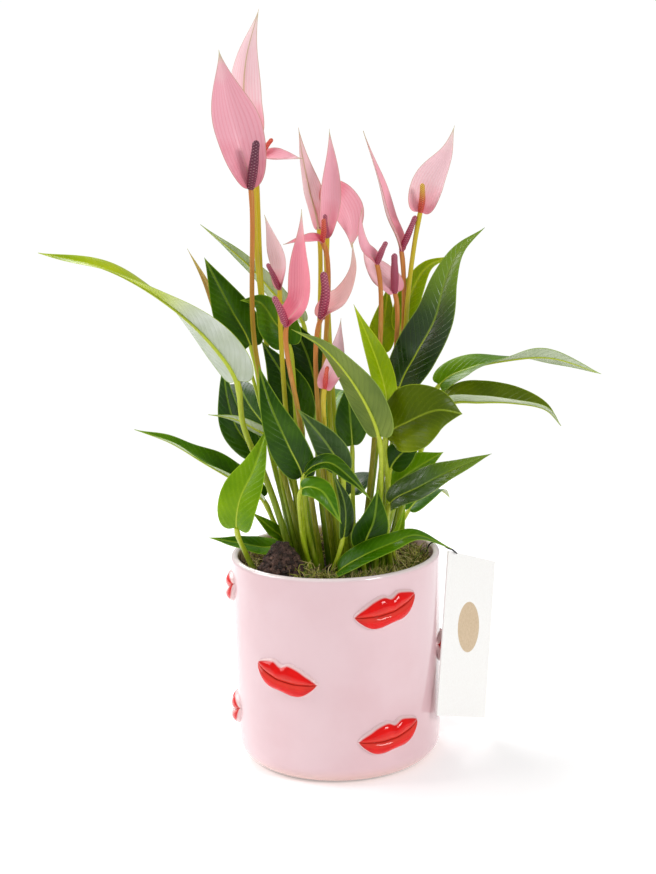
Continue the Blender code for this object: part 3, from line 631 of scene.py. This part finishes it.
def stalk_paint(name, low, middle, top):
    """Stalk colours from the soil to the heel, streaked lengthways."""
    paint = Paint(name)
    _, along = paint.uv("place")
    streak = paint.noise(900.0, 2.0, 0.6, stretch=(1.0, 1.0, 0.03))
    place = paint.math("ADD", along, paint.step(streak, 0.3, 0.7, -0.06, 0.06))
    colour = paint.ramp(place, (0.02, low), (0.45, middle), (0.9, top))
    colour = paint.mix(paint.step(streak, 0.52, 0.75, 0.0, 0.30), colour, "#E4DC78")
    paint.finish(colour, streak, 0.24, 0.40, Specular_IOR_Level=0.4)
    paint.bump(streak, 0.25, 0.0003)
    return paint.material


def spathe_paint(kind):
    heel, main, tip = SPATHE_COLOURS[kind]
    paint = Paint("spathe_" + kind)
    across, along = paint.uv("place")
    inside, _ = paint.uv("lines")
    inside = paint.math("ABSOLUTE", inside)
    margin = margin_gap(paint, across, inside)
    cloud = paint.noise(40.0, 3.0)
    nerve = paint.math("PINGPONG", paint.math("ADD", across, paint.math("MULTIPLY", cloud, 0.03)), 0.085)
    nerve = paint.step(nerve, 0.0, 0.04, 1.0, 0.0)
    place = paint.math("ADD", along, paint.step(cloud, 0.3, 0.7, -0.08, 0.08))
    colour = paint.ramp(place, (0.0, heel), (0.30, main), (0.75, main), (0.95, tip))
    colour = paint.tint(colour, nerve, 0.28, heel)
    edge = paint.math("MULTIPLY", paint.step(margin, 0.1, 0.5, 1.0, 0.0), 0.75)
    colour = paint.mix(edge, colour, "#C9A27A")
    colour = paint.mix(paint.step(along, 0.88, 1.0, 0.0, 0.8), colour, "#CFCF9A")
    paint.finish(colour, cloud, 0.30, 0.45, Specular_IOR_Level=0.35)
    paint.bump(nerve, 0.3, 0.0004)
    return paint.material


def rod_paint(kind):
    heel, end = ROD_COLOURS[kind]
    paint = Paint("spadix_" + kind)
    _, along = paint.uv("place")
    bump, _ = paint.uv("lines")
    colour = paint.mix(paint.step(along, 0.35, 0.95), heel, end)
    # painted shade: darker in the hollows between the bumps
    dark = paint.mix(0.6, colour, "#3A1020")
    colour = paint.mix(paint.step(bump, 0.15, 0.6), dark, colour)
    # painted highlight: pale on the tops of the bumps
    colour = paint.mix(paint.step(bump, 0.72, 0.95, 0.0, 0.65), colour, "#F0C8C8")
    paint.set(Base_Color=colour, Roughness=paint.step(bump, 0.0, 1.0, 0.6, 0.35))
    paint.bump(paint.noise(1500.0, 2.0), 0.2, 0.0002)
    return paint.material


def glaze_paint():
    """Pale pink glaze, whiter round the rim, partly where it runs thin and partly a painted highlight, warm
    at the foot.
    """
    paint = Paint("pink_glaze")
    split = paint.nodes.new("ShaderNodeSeparateXYZ")
    paint.put(split.inputs[0], paint.where())
    height = split.outputs[2]
    cloud = paint.noise(14.0, 4.0)
    colour = paint.mix(paint.step(cloud, 0.35, 0.7), "#E6C6CB", "#E1BCC1")
    # painted highlight: a whiter band round the rim, also partly paler glaze where it runs thin
    rim = paint.step(height, 0.1325, 0.1347, 0.0, 0.8)
    colour = paint.mix(rim, colour, "#F8ECEC")
    colour = paint.mix(paint.step(height, 0.0, 0.012, 0.55, 0.0), colour, "#E2B49A")
    colour = paint.mix(paint.step(height, 0.0004, 0.0014, 0.9, 0.0), colour, "#8A5A3C")
    paint.finish(
        colour, cloud, 0.06, 0.12, Specular_IOR_Level=0.6, Coat_Weight=0.6, Coat_Roughness=0.04)
    paint.bump(paint.noise(45.0, 2.0), 0.12, 0.0015)
    return paint.material


def lips_paint():
    """Red glaze with painted shade in the mouth and the corners and a painted highlight as a coral band
    along the mouth, pale where it thins at the outline.
    """
    paint = Paint("red_lips_glaze")
    across, level = paint.uv("place")
    edge, upper = paint.uv("lines")
    cloud = paint.noise(120.0, 3.0)
    colour = paint.mix(paint.step(cloud, 0.35, 0.7), "#EA0A06", "#DA0604")
    # painted shade: darker red towards the corners of the mouth
    corner = paint.step(paint.math("ABSOLUTE", across), 0.55, 1.0, 0.0, 0.5)
    colour = paint.mix(corner, colour, "#B8160E")
    # painted highlight: a lighter coral band along the mouth line
    coral_highlight = paint.step(level, 0.10, 0.5, 0.45, 0.0)
    colour = paint.mix(coral_highlight, colour, "#E85A4A")
    colour = paint.mix(paint.step(edge, 0.7, 1.9, 1.0, 0.0), colour, "#F0D2D2")
    # painted shade: deep red in the mouth groove
    colour = paint.mix(paint.step(level, 0.0, 0.08, 0.55, 0.0), colour, "#9A140F")
    paint.finish(
        colour, cloud, 0.05, 0.10, Specular_IOR_Level=0.1, Coat_Weight=0.4, Coat_Roughness=0.03)
    paint.bump(paint.noise(160.0, 2.0), 0.08, 0.0006)
    return paint.material


def speckled_paint(name, colours, scale, rough=(0.7, 0.95)):
    """Natural stuff in three shades that follow noise."""
    paint = Paint(name)
    cloud = paint.noise(scale, 4.0, 0.7)
    stops = zip((0.32, 0.5, 0.68), colours)
    paint.set(Base_Color=paint.ramp(cloud, *stops), Roughness=paint.step(cloud, 0.2, 0.8, *rough))
    paint.bump(cloud, 0.5, 0.0006)
    return paint.material


def card_paint():
    """White card with fibres, and one plain tan disc."""
    paint = Paint("card_paper")
    across, down = np.array(CARD_ACROSS), np.array(CARD_DOWN)
    centre = np.array(CARD_CORNER) + DISC_PLACE[0] * across + DISC_PLACE[1] * down
    away = paint.nodes.new("ShaderNodeVectorMath")
    away.operation = "DISTANCE"
    paint.put(away.inputs[0], paint.where())
    away.inputs[1].default_value = tuple(centre * MM)
    fibre = paint.noise(700.0, 4.0, 0.7)
    white = paint.mix(paint.step(fibre, 0.3, 0.7), "#FFFEFB", "#FAF8F5")
    tan = paint.mix(paint.step(fibre, 0.3, 0.7), "#DCC4A4", "#D0B692")
    edge = DISC_RADIUS * MM
    paint.set(
        Base_Color=paint.mix(paint.step(away.outputs["Value"], edge - 0.0003, edge + 0.0003), tan, white),
        Roughness=paint.step(fibre, 0.2, 0.8, 0.5, 0.65))
    paint.bump(fibre, 0.1, 0.0002)
    return paint.material


# ---------------------------------------------------------------- blades, stalks and rods

def blade_width(t, tip_power, widest):
    """Half width along a blade, 1 at its widest: round heel, drawn-out tip."""
    swell = np.clip(np.sin(math.pi * t ** (math.log(0.5) / math.log(widest))), 0.0, 1.0)
    return np.where(t < widest, swell ** 0.6, swell ** tip_power)


def add_blade(shape, curve, half_width, face_heel, face_tip, look, slots):
    """A folded, wavy blade with an upper and an under face along its curve; returns its midrib."""
    shares = np.linspace(0.0, 1.0, ROWS) ** 1.35
    path, length = points_at(curve, shares)
    along = tangents(path)
    t = shares[:, None]
    front = unit(face_heel) * (1 - t) + unit(face_tip) * t
    front -= (front * along).sum(axis=1, keepdims=True) * along
    front /= np.linalg.norm(front, axis=1, keepdims=True)
    side = np.cross(front, along)

    r = np.linspace(-1.0, 1.0, COLUMNS)[None, :]
    width = half_width * np.maximum(blade_width(t, look["tip"], look["widest"]), 0.006)
    far = np.abs(r)
    back = look["lobe"] * width * far ** 2 * np.exp(-t / 0.09)
    ripple = np.sin(2 * math.pi * (look["ripples"] * t + 0.13 * np.sign(r)) + look["phase"])
    lift = width * (look["fold"] * far ** look["hood"] - look["camber"] * far ** 2)
    lift = lift + look["wave"] * half_width * 0.10 * ripple * far ** 2 * np.sin(math.pi * t)
    run = t * length - 1.5 * far * width
    vein = 1 - np.clip(np.abs((run % 5.4) - 2.7) / 2.7, 0, 1)
    lift = lift - look["relief"] * vein ** 6 * np.sin(math.pi * far) ** 0.5
    points = (path[:, None] - along[:, None] * back[..., None]
              + side[:, None] * (width * r)[..., None] + front[:, None] * lift[..., None])
    depth = BLADE_THICKNESS / 2 * (1 - 0.6 * far) * np.ones_like(t)
    coords = np.stack([r + 0 * t, t + 0 * r, width * r, run], axis=-1).reshape(-1, 4)
    upper = points + front[:, None] * depth[..., None]
    under = points - front[:, None] * depth[..., None]
    shape.add(upper, grid(ROWS, COLUMNS, flip=True), slots[0], coords)
    count = ROWS * COLUMNS
    shape.add(under, grid(ROWS, COLUMNS), slots[1], coords)
    top, low = shape.count - 2 * count, shape.count - count
    loop = [i * COLUMNS for i in range(ROWS)]
    loop += [(ROWS - 1) * COLUMNS + k for k in range(1, COLUMNS)]
    loop += [i * COLUMNS + COLUMNS - 1 for i in range(ROWS - 2, -1, -1)]
    loop += list(range(COLUMNS - 2, 0, -1))
    for a, b in zip(loop, loop[1:] + loop[:1]):
        shape.faces.append((top + b, top + a, low + a, low + b))
        shape.slots.append(slots[0])
    return path, front


def add_stalk(shape, curve, heel, radii, slot):
    """A round stalk from the soil to the heel, with a thicker joint just below it."""
    base, neck, joint = radii
    shares = np.linspace(0.0, 1.0, 44)
    path, length = points_at(curve[:heel + 1], shares)
    left = length * (1 - shares)
    size = neck + (base - neck) * np.exp(-3.0 * shares)
    size = size + (joint - neck) * np.exp(-((left - 6.0) / 5.0) ** 2)
    points, faces = tube(path, size, STALK_SIDES)
    coords = np.zeros((len(points), 4))
    coords[:, 0] = np.tile(np.arange(STALK_SIDES) / STALK_SIDES, len(path))
    coords[:, 1] = np.repeat(shares, STALK_SIDES)
    shape.add(points, faces, slot, coords)


def add_midrib(shape, path, front, size, slot):
    """The rib that runs on from the stalk under the blade and thins to the tip."""
    t = np.linspace(0.0, 1.0, len(path))
    radii = size * (1 - t) ** 0.8 + 0.12
    centre = path - front * (0.55 * radii)[:, None]
    points, faces = tube(centre, radii, 8)
    coords = np.zeros((len(points), 4))
    coords[:, 1] = 0.92
    shape.add(points, faces, slot, coords)


def add_rod(shape, route, radius, slot):
    """The spadix: a tapered rod set with rows of tiny bumps in crossing spirals."""
    rings, sides = 72, 32
    shares = np.linspace(0.0, 1.0, rings)
    path, length = points_at(smooth_curve(route), shares)
    angles = 2 * math.pi * np.arange(sides) / sides
    turns = length / (2.1 * radius)
    points, coords = [], []
    for (point, side, front), s in zip(rings_along(path, (0.2, 0.9, 0.4)), shares):
        size = radius * (0.84 + 0.24 * math.sin(math.pi * min(1.3 * s, 1.0)))
        size *= math.sqrt(max(1 - max((s - 0.9) / 0.1, 0.0) ** 2, 0.004))
        spiral = 2 * math.pi * turns * s
        bump = 0.5 + 0.25 * (np.cos(5 * angles + 3 * spiral) + np.cos(5 * angles - 3 * spiral))
        reach = size * (0.95 + 0.13 * bump)
        points.append(
            point + np.outer(reach * np.cos(angles), side) + np.outer(reach * np.sin(angles), front))
        coords.append(np.stack([angles / 6.28, np.full(sides, s), bump, np.zeros(sides)], axis=1))
    shape.add(np.vstack(points), capped_tube(rings, sides), slot, np.vstack(coords))


def grow(shape, name, spec, look, radii, rib):
    """A blade with its stalk and its midrib, whose radius at the heel and slot rib gives."""
    stalk, blade, half_width, faces = spec
    look["widest"] = WIDEST_AT.get(name, WIDEST)
    look["fold"], faces = FOLDED.get(name, (look["fold"], faces))
    curve = smooth_curve([(*stalk[0], STALK_START)] + stalk[1:] + blade)
    heel = SAMPLES * len(stalk)
    half_width *= WIDER.get(name, 1.0)
    path, front = add_blade(shape, curve[heel:], half_width, faces[0], faces[-1], look, (0, 1))
    add_stalk(shape, curve, heel, radii, 2)
    add_midrib(shape, path, front, *rib)


def build_leaf(name, spec, seed, paints):
    upper, under, wave = spec[4:]
    look = {
        "tip": 1.1, "lobe": 0.42, "fold": 0.46, "hood": 1.0, "camber": 0.26, "wave": wave,
        "ripples": 1.6 + (seed % 5) * 0.25, "phase": 1.9 * seed, "relief": 0.14,
    }
    thick = 0.75 + 0.03 * spec[2]
    shape = Shape()
    grow(shape, name, spec[:4], look, (2.1 * thick, 1.25 * thick, 1.55 * thick), (0.95 * thick, 2))
    piece = shape.make(
        name + "_look", [paints["upper"][upper], paints["under"][under], paints["petiole"]], 60)
    ride(piece, "young_leaf" if upper in ("young", "bright", "fresh") else "leaf", name)


def build_flower(name, spec, seed, paints):
    rod, rod_radius, face, back, stalk, rod_kind = spec[4:]
    look = {
        "tip": 1.35, "lobe": 0.30, "fold": 0.42, "hood": 1.7, "camber": 0.0, "wave": 0.35,
        "ripples": 1.1 + (seed % 4) * 0.2, "phase": 2.3 * seed, "relief": 0.0,
    }
    shape = Shape()
    grow(shape, name, spec[:4], look, (2.1, 1.45, 1.6), (0.7, 1))
    if rod:
        heel = spec[1][0]
        add_rod(shape, [heel] + rod, rod_radius, 3)
    piece = shape.make(name + "_look", [
        paints["spathe"][face], paints["spathe"][back], paints["stalk"][stalk],
        paints["rod"][rod_kind]], 60)
    ride(piece, "flower", name)


def build_plant():
    paints = {
        "upper": {kind: upper_leaf(kind) for kind in UPPER_COLOURS},
        "under": {kind: under_leaf(kind) for kind in UNDER_COLOURS},
        "petiole": stalk_paint("petiole", "#5C7C0A", "#98AE18", "#BAC834"),
        "spathe": {kind: spathe_paint(kind) for kind in SPATHE_COLOURS},
        "stalk": {
            "olive": stalk_paint("olive_stalk", "#6E8C0C", "#B0B81C", "#CDB62C"),
            "warm": stalk_paint("warm_stalk", "#6C860E", "#A89C20", "#CB7E3E"),
        },
        "rod": {kind: rod_paint(kind) for kind in ROD_COLOURS},
    }
    for seed, (name, spec) in enumerate(LEAVES.items()):
        build_leaf("leaf_" + name, spec, seed, paints)
    for seed, (name, spec) in enumerate(FLOWERS.items()):
        build_flower("flower_" + name, spec, seed, paints)


# ---------------------------------------------------------------- pot

def arc(centre, radius, start, end, steps):
    """Points of a round stretch of a profile, angles in degrees."""
    angles = np.radians(np.linspace(start, end, steps + 1))
    return [(centre[0] + radius * math.cos(a), centre[1] + radius * math.sin(a)) for a in angles]


def wall_radius(height):
    return POT_BASE_RADIUS + (POT_RADIUS - POT_BASE_RADIUS) * height / POT_HEIGHT


def add_turned(shape, profile, segments, slot):
    """A surface of revolution; the profile runs down its outer side."""
    turns = 2 * math.pi * np.arange(segments) / segments
    rings = [
        np.stack([r * np.cos(turns), r * np.sin(turns), np.full(segments, z)], axis=1)
        for r, z in profile
    ]
    shape.add(np.vstack(rings), grid(len(profile), segments, closed=True, flip=True), slot)


def lips_outline(across):
    """Height of the lower edge, the mouth line and the upper edge, half width 1."""
    places = (-1.0, -0.85, -0.6, -0.35, -0.05, 0.14, 0.38, 0.62, 0.85, 1.0)
    upper = (0.03, 0.14, 0.24, 0.33, 0.36, 0.25, 0.33, 0.26, 0.15, 0.03)
    lower = (-0.03, -0.26, -0.49, -0.55, -0.53, -0.53, -0.54, -0.46, -0.24, -0.03)
    mouth = (0.0, -0.04, -0.09, -0.14, -0.16, -0.17, -0.14, -0.10, -0.04, 0.0)
    curves = [smooth_curve([(x, z, 0) for x, z in zip(places, line)], 12) for line in (lower, mouth, upper)]
    return [np.interp(across, curve[:, 0], curve[:, 1]) for curve in curves]


def add_lips(shape, turn, height, tilt, mirror, slot):
    """Full lips in relief: two rounded ridges that meet in a groove, wrapped round the wall."""
    columns, half_rows = 57, 15
    u = np.sin(np.linspace(-math.pi / 2, math.pi / 2, columns))
    low, mouth, high = lips_outline(u)
    ends = np.clip(1 - np.abs(u) ** 3, 0.0, 1.0) ** 0.5
    rows, coords = [], []
    for part, (start, end, peak) in enumerate(((low, mouth, 1.0), (mouth, high, 0.94))):
        for k in range(half_rows + 1):
            s = k / half_rows
            place = start + (end - start) * s
            outer = s if part == 0 else 1 - s
            dome = math.sin(math.pi * min(0.5 * outer / 0.62, 0.5)) ** 0.55 if outer < 0.62 else (
                math.cos(math.pi / 2 * (outer - 0.62) / 0.38) ** 0.7 * 0.40 + 0.60)
            relief = ends * (LIPS_RELIEF * peak * dome + 0.5) - 0.6
            rows.append((u * LIPS_HALF_WIDTH, place * LIPS_HALF_WIDTH, relief))
            edge = np.minimum(np.abs(end - start) * outer, 1 - np.abs(u) * 0.98) * LIPS_HALF_WIDTH
            coords.append(np.stack([u, np.full(columns, 1 - outer), edge, np.full(columns, part)], axis=1))
    slope = math.radians(tilt)
    points = []
    for x, z, relief in rows:
        x = x * mirror
        around = math.radians(turn) + (x * math.cos(slope) - z * math.sin(slope)) / POT_RADIUS
        up = height + x * math.sin(slope) + z * math.cos(slope)
        reach = wall_radius(up) + relief
        points.append(np.stack([reach * np.sin(around), -reach * np.cos(around), up], axis=1))
    shape.add(np.vstack(points), grid(len(rows), columns, flip=mirror < 0), slot, np.vstack(coords))


def build_pot():
    inside = POT_RADIUS - POT_WALL
    lip = POT_WALL / 2
    profile = [(0.01, POT_FLOOR), (inside - 8.0, POT_FLOOR), (inside - 1.3, POT_FLOOR + 7.0)]
    profile += arc((POT_RADIUS - lip, POT_HEIGHT - lip), lip, 180, 0, 16)
    profile += [(wall_radius(h), h) for h in np.linspace(128, BASE_ROUNDING + 4, 24)]
    profile += arc((POT_BASE_RADIUS - BASE_ROUNDING, BASE_ROUNDING), BASE_ROUNDING, 0, -90, 16)
    profile += [(0.01, 0.0)]
    body = Shape()
    add_turned(body, profile, 160, 0)
    lips = Shape()
    for turn, height, tilt, mirror in LIPS_ROWS:
        for k in range(LIPS_PER_ROW):
            add_lips(lips, turn + 360.0 / LIPS_PER_ROW * k, height, tilt, mirror, 0)
    ride(body.make("pot_glazed", [glaze_paint()]), "glaze", "ceramic_pot")
    ride(lips.make("pot_lips", [lips_paint()], 80), "glaze")


# ---------------------------------------------------------------- soil and moss

def crumb(rng, place, size):
    """One lump: a small squashed ball with a rough outline."""
    rings, sides = 4, 6
    points = [place + np.array((0, 0, -size * 0.7))]
    for i in range(1, rings):
        a = math.pi * i / rings
        for k in range(sides):
            b = 2 * math.pi * (k + 0.5 * (i % 2)) / sides
            reach = size * rng.uniform(0.65, 1.25)
            points.append(place + reach * np.array(
                (math.sin(a) * math.cos(b), math.sin(a) * math.sin(b), -0.8 * math.cos(a))))
    points.append(place + np.array((0, 0, size * 0.8)))
    last = len(points) - 1
    faces = [(0, 1 + (k + 1) % sides, 1 + k) for k in range(sides)]
    faces += [tuple(1 + k for k in quad) for quad in grid(rings - 1, sides, closed=True)]
    base = 1 + (rings - 2) * sides
    faces += [(last, base + k, base + (k + 1) % sides) for k in range(sides)]
    return points, faces


def strand(rng, place, length, size):
    """One curled thread of moss."""
    heading = np.array((rng.gauss(0, 1), rng.gauss(0, 1), rng.uniform(0.1, 1.1)))
    point, path = np.array(place, float), []
    for _ in range(6):
        path.append(point.copy())
        heading += np.array([rng.gauss(0, 0.75) for _ in range(3)]) - (0, 0, 0.22)
        point = point + unit(heading) * length / 5
    path = np.array(path)
    reach = np.hypot(path[:, 0], path[:, 1])
    path[:, :2] *= np.minimum(1.0, INNER_WALL / np.maximum(reach, 1.0))[:, None]
    return tube(path, size * np.array((1, 1, 0.95, 0.85, 0.65, 0.25)), 3)


PEAT_PLACE = (-33, -34)    # of the bare lump of peat at the front left
PEAT_REACH = 19


def ground(x, y):
    """Height of the soil at a place: level, with a mound of peat at the front left."""
    mound = 23.0 * np.exp(-(((x - PEAT_PLACE[0]) / 15) ** 2 + ((y - PEAT_PLACE[1]) / 14) ** 2))
    swing = 0.55 + 0.45 * np.sin(2.1 * np.arctan2(y, x) - 0.5)
    ridge = 8.0 * np.exp(-((np.hypot(x, y) - 50) / 10) ** 2) * swing
    return SOIL_TOP - 1.0 + mound + ridge


def build_soil():
    rng = random.Random(11)
    shape = Shape()
    rings, sides = 40, 120
    points = []
    for i in range(rings):
        reach = 0.01 + SOIL_RADIUS * i / (rings - 1)
        for k in range(sides):
            a = 2 * math.pi * k / sides
            x, y = reach * math.cos(a), reach * math.sin(a)
            points.append((x, y, ground(x, y) + rng.gauss(0, 0.35)))
    shape.add(points, grid(rings, sides, closed=True), 0)
    for _ in range(2600):
        a, reach = rng.uniform(0, 2 * math.pi), SOIL_RADIUS * math.sqrt(rng.random()) * 0.985
        x, y = reach * math.cos(a), reach * math.sin(a)
        add = crumb(rng, np.array((x, y, ground(x, y) + 0.3)), rng.uniform(0.5, 1.7))
        shape.add(*add, rng.choice((0, 0, 1)))
    for _ in range(900):
        x, y = rng.gauss(-33, 9), rng.gauss(-35, 8)
        if math.hypot(x, y) < SOIL_RADIUS:
            add = crumb(rng, np.array((x, y, ground(x, y) + rng.uniform(0, 1.5))), rng.uniform(0.8, 2.3))
            shape.add(*add, rng.choice((0, 1)))
    piece = shape.make("soil_look", [
        speckled_paint("peat_dark", ("#1C120D", "#32221B", "#523D33"), 240.0),
        speckled_paint("peat_brown", ("#33231D", "#4E3830", "#7A5C4E"), 200.0)], 30)
    ride(piece, "soil", "potting_soil")


def build_moss():
    rng = random.Random(5)
    paints = [
        speckled_paint("moss_olive", ("#6A7818", "#98983A", "#BCBA58"), 300.0),
        speckled_paint("moss_straw", ("#9A8A48", "#C4B474", "#E0D49C"), 300.0),
        speckled_paint("moss_brown", ("#3C2C1C", "#5E4830", "#7C6444"), 300.0),
        speckled_paint("moss_green", ("#3E5214", "#5A7420", "#7E9A38"), 300.0),
    ]
    beds = (                   # piece, node, strands, middle angle, its spread, share of each paint
        ("moss_right_look", "moss_right", 4200, -40, 34, (0, 0, 0, 1, 1, 2, 3)),
        ("moss_left_look", "moss_left", 1300, 150, 40, (2, 2, 1, 2, 0, 1)),
        ("moss_front_look", None, 500, -100, 12, (2, 2, 0, 3, 1, 0)),
        ("moss_back_look", None, 900, 60, 45, (0, 2, 1, 3, 2, 1)),
    )
    for name, node, count, middle, spread, kinds in beds:
        shape = Shape()
        for _ in range(count):
            a = math.radians(rng.gauss(middle, spread))
            reach = rng.triangular(34, 61.5, 56)
            x, y = reach * math.cos(a), reach * math.sin(a)
            if math.hypot(x - PEAT_PLACE[0], y - PEAT_PLACE[1]) < PEAT_REACH:
                continue
            height = ground(x, y) + rng.uniform(-1.0, 7.0) * (reach / 60)
            points, faces = strand(rng, (x, y, height), rng.uniform(5, 15), rng.uniform(0.18, 0.42))
            shape.add(points, faces, rng.choice(kinds))
        piece = shape.make(name, paints, 80)
        ride(piece, "moss", *([node] if node else []))


# ---------------------------------------------------------------- card, string and grow pot

def dress(node, material):
    """A CAD node keeps its own shape and gets a material."""
    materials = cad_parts[node].data.materials
    materials.clear()
    materials.append(material)


def build_trims():
    dress("gift_card", card_paint())
    plastic = Paint("black_plastic")
    grain = plastic.noise(500.0, 3.0)
    colour = plastic.mix(plastic.step(grain, 0.3, 0.7), "#1A1A1B", "#2A2A2C")
    plastic.finish(colour, grain, 0.4, 0.6)
    dress("grow_pot", plastic.material)


def build_string():
    """The card's black elastic, a round cord with a woven cover."""
    elastic = Paint("black_elastic")
    weave = elastic.noise(2600.0, 1.0, stretch=(1.0, 1.0, 2.0))
    elastic.set(
        Base_Color=elastic.mix(elastic.step(weave, 0.4, 0.6), "#0C0C0E", "#2C2C30"),
        Roughness=elastic.step(weave, 0.2, 0.8, 0.5, 0.8))
    elastic.bump(weave, 0.5, 0.0002)
    curve = bpy.data.curves.new("card_elastic", "CURVE")
    curve.dimensions = "3D"
    curve.bevel_depth = STRING_DIAMETER / 2 * MM
    curve.bevel_resolution = 4
    curve.use_fill_caps = True
    points, length = points_at(smooth_curve(STRING_ROUTE), np.linspace(0, 1, 48))
    line = curve.splines.new("POLY")
    line.points.add(len(points) - 1)
    for target, point in zip(line.points, points):
        target.co = (*(MM * point), 1.0)
    curve.materials.append(elastic.material)
    piece = link("card_elastic", curve)
    ride(piece, "elastic", "card_string")


# ---------------------------------------------------------------- stage, light and camera

CAMERA_PLACE = (-0.0028, -1.057, 0.4295)
CAMERA_DIP = 0.2053        # radians below level
CAMERA_ROLL = -0.0266
FLOOR_RADIUS = 780.0       # beyond it the white room shows
FLOOR_GAP = 0.2            # below the pot
ROOM_LIGHT = 0.47          # strength of the white room as the plant sees it
LAMPS = (                  # name, place, what it points at, size, watts
    ("left_window", (-1.3, 0.0, 1.0), (0, 0, 0.25), 0.8, 11.0),
    ("back_window", (-0.6, 1.2, 1.3), (0, 0, 0.3), 1.0, 16.0),
    ("right_box", (1.0, -1.1, 0.9), (0, 0, 0.2), 0.4, 8.6),
)


def build_camera():
    data = bpy.data.cameras.new("camera")
    data.lens = 70.0
    data.sensor_width = 36.0
    camera = link("camera", data)
    dip = Matrix.Rotation(math.radians(90) - CAMERA_DIP, 4, "X")
    camera.matrix_world = Matrix.Translation(CAMERA_PLACE) @ dip @ Matrix.Rotation(CAMERA_ROLL, 4, "Z")
    bpy.context.scene.camera = camera


def add_light(name, place, target, size, power):
    data = bpy.data.lights.new(name, "AREA")
    data.shape = "SQUARE"
    data.size = size
    data.energy = power
    lamp = link(name, data)
    lamp.location = place
    lamp.rotation_euler = (Vector(target) - Vector(place)).to_track_quat("-Z", "Y").to_euler()


def build_stage():
    floor = Shape()
    turns = np.radians(np.arange(0, 360, 4))
    rim = FLOOR_RADIUS * np.stack([np.cos(turns), np.sin(turns), 0 * turns], axis=1)
    floor.add(rim - (0, 0, FLOOR_GAP), [tuple(range(len(turns)))], 0)
    paint = Paint("white_floor")
    paint.set(
        Base_Color=(0.88, 0.88, 0.885, 1.0), Roughness=0.6, Specular_IOR_Level=0.2,
        Emission_Color=(1.0, 1.0, 1.0, 1.0), Emission_Strength=0.3)
    floor.make("floor", [paint.material])
    world = bpy.data.worlds.new("white_room")
    bpy.context.scene.world = world
    world.use_nodes = True
    nodes, links = world.node_tree.nodes, world.node_tree.links
    room = nodes["Background"]
    room.inputs["Color"].default_value = (1.0, 1.0, 1.0, 1.0)
    seen = nodes.new("ShaderNodeLightPath").outputs["Is Camera Ray"]
    strength = nodes.new("ShaderNodeMapRange")
    strength.inputs["To Min"].default_value = ROOM_LIGHT
    strength.inputs["To Max"].default_value = 1.02
    links.new(seen, strength.inputs["Value"])
    links.new(strength.outputs[0], room.inputs["Strength"])
    for lamp in LAMPS:
        add_light(*lamp)
    bpy.context.scene.view_settings.view_transform = "Standard"
    bpy.context.scene.view_settings.exposure = 0.0


build_camera()
build_string()
build_pot()
build_soil()
build_moss()
build_trims()
build_plant()
build_stage()
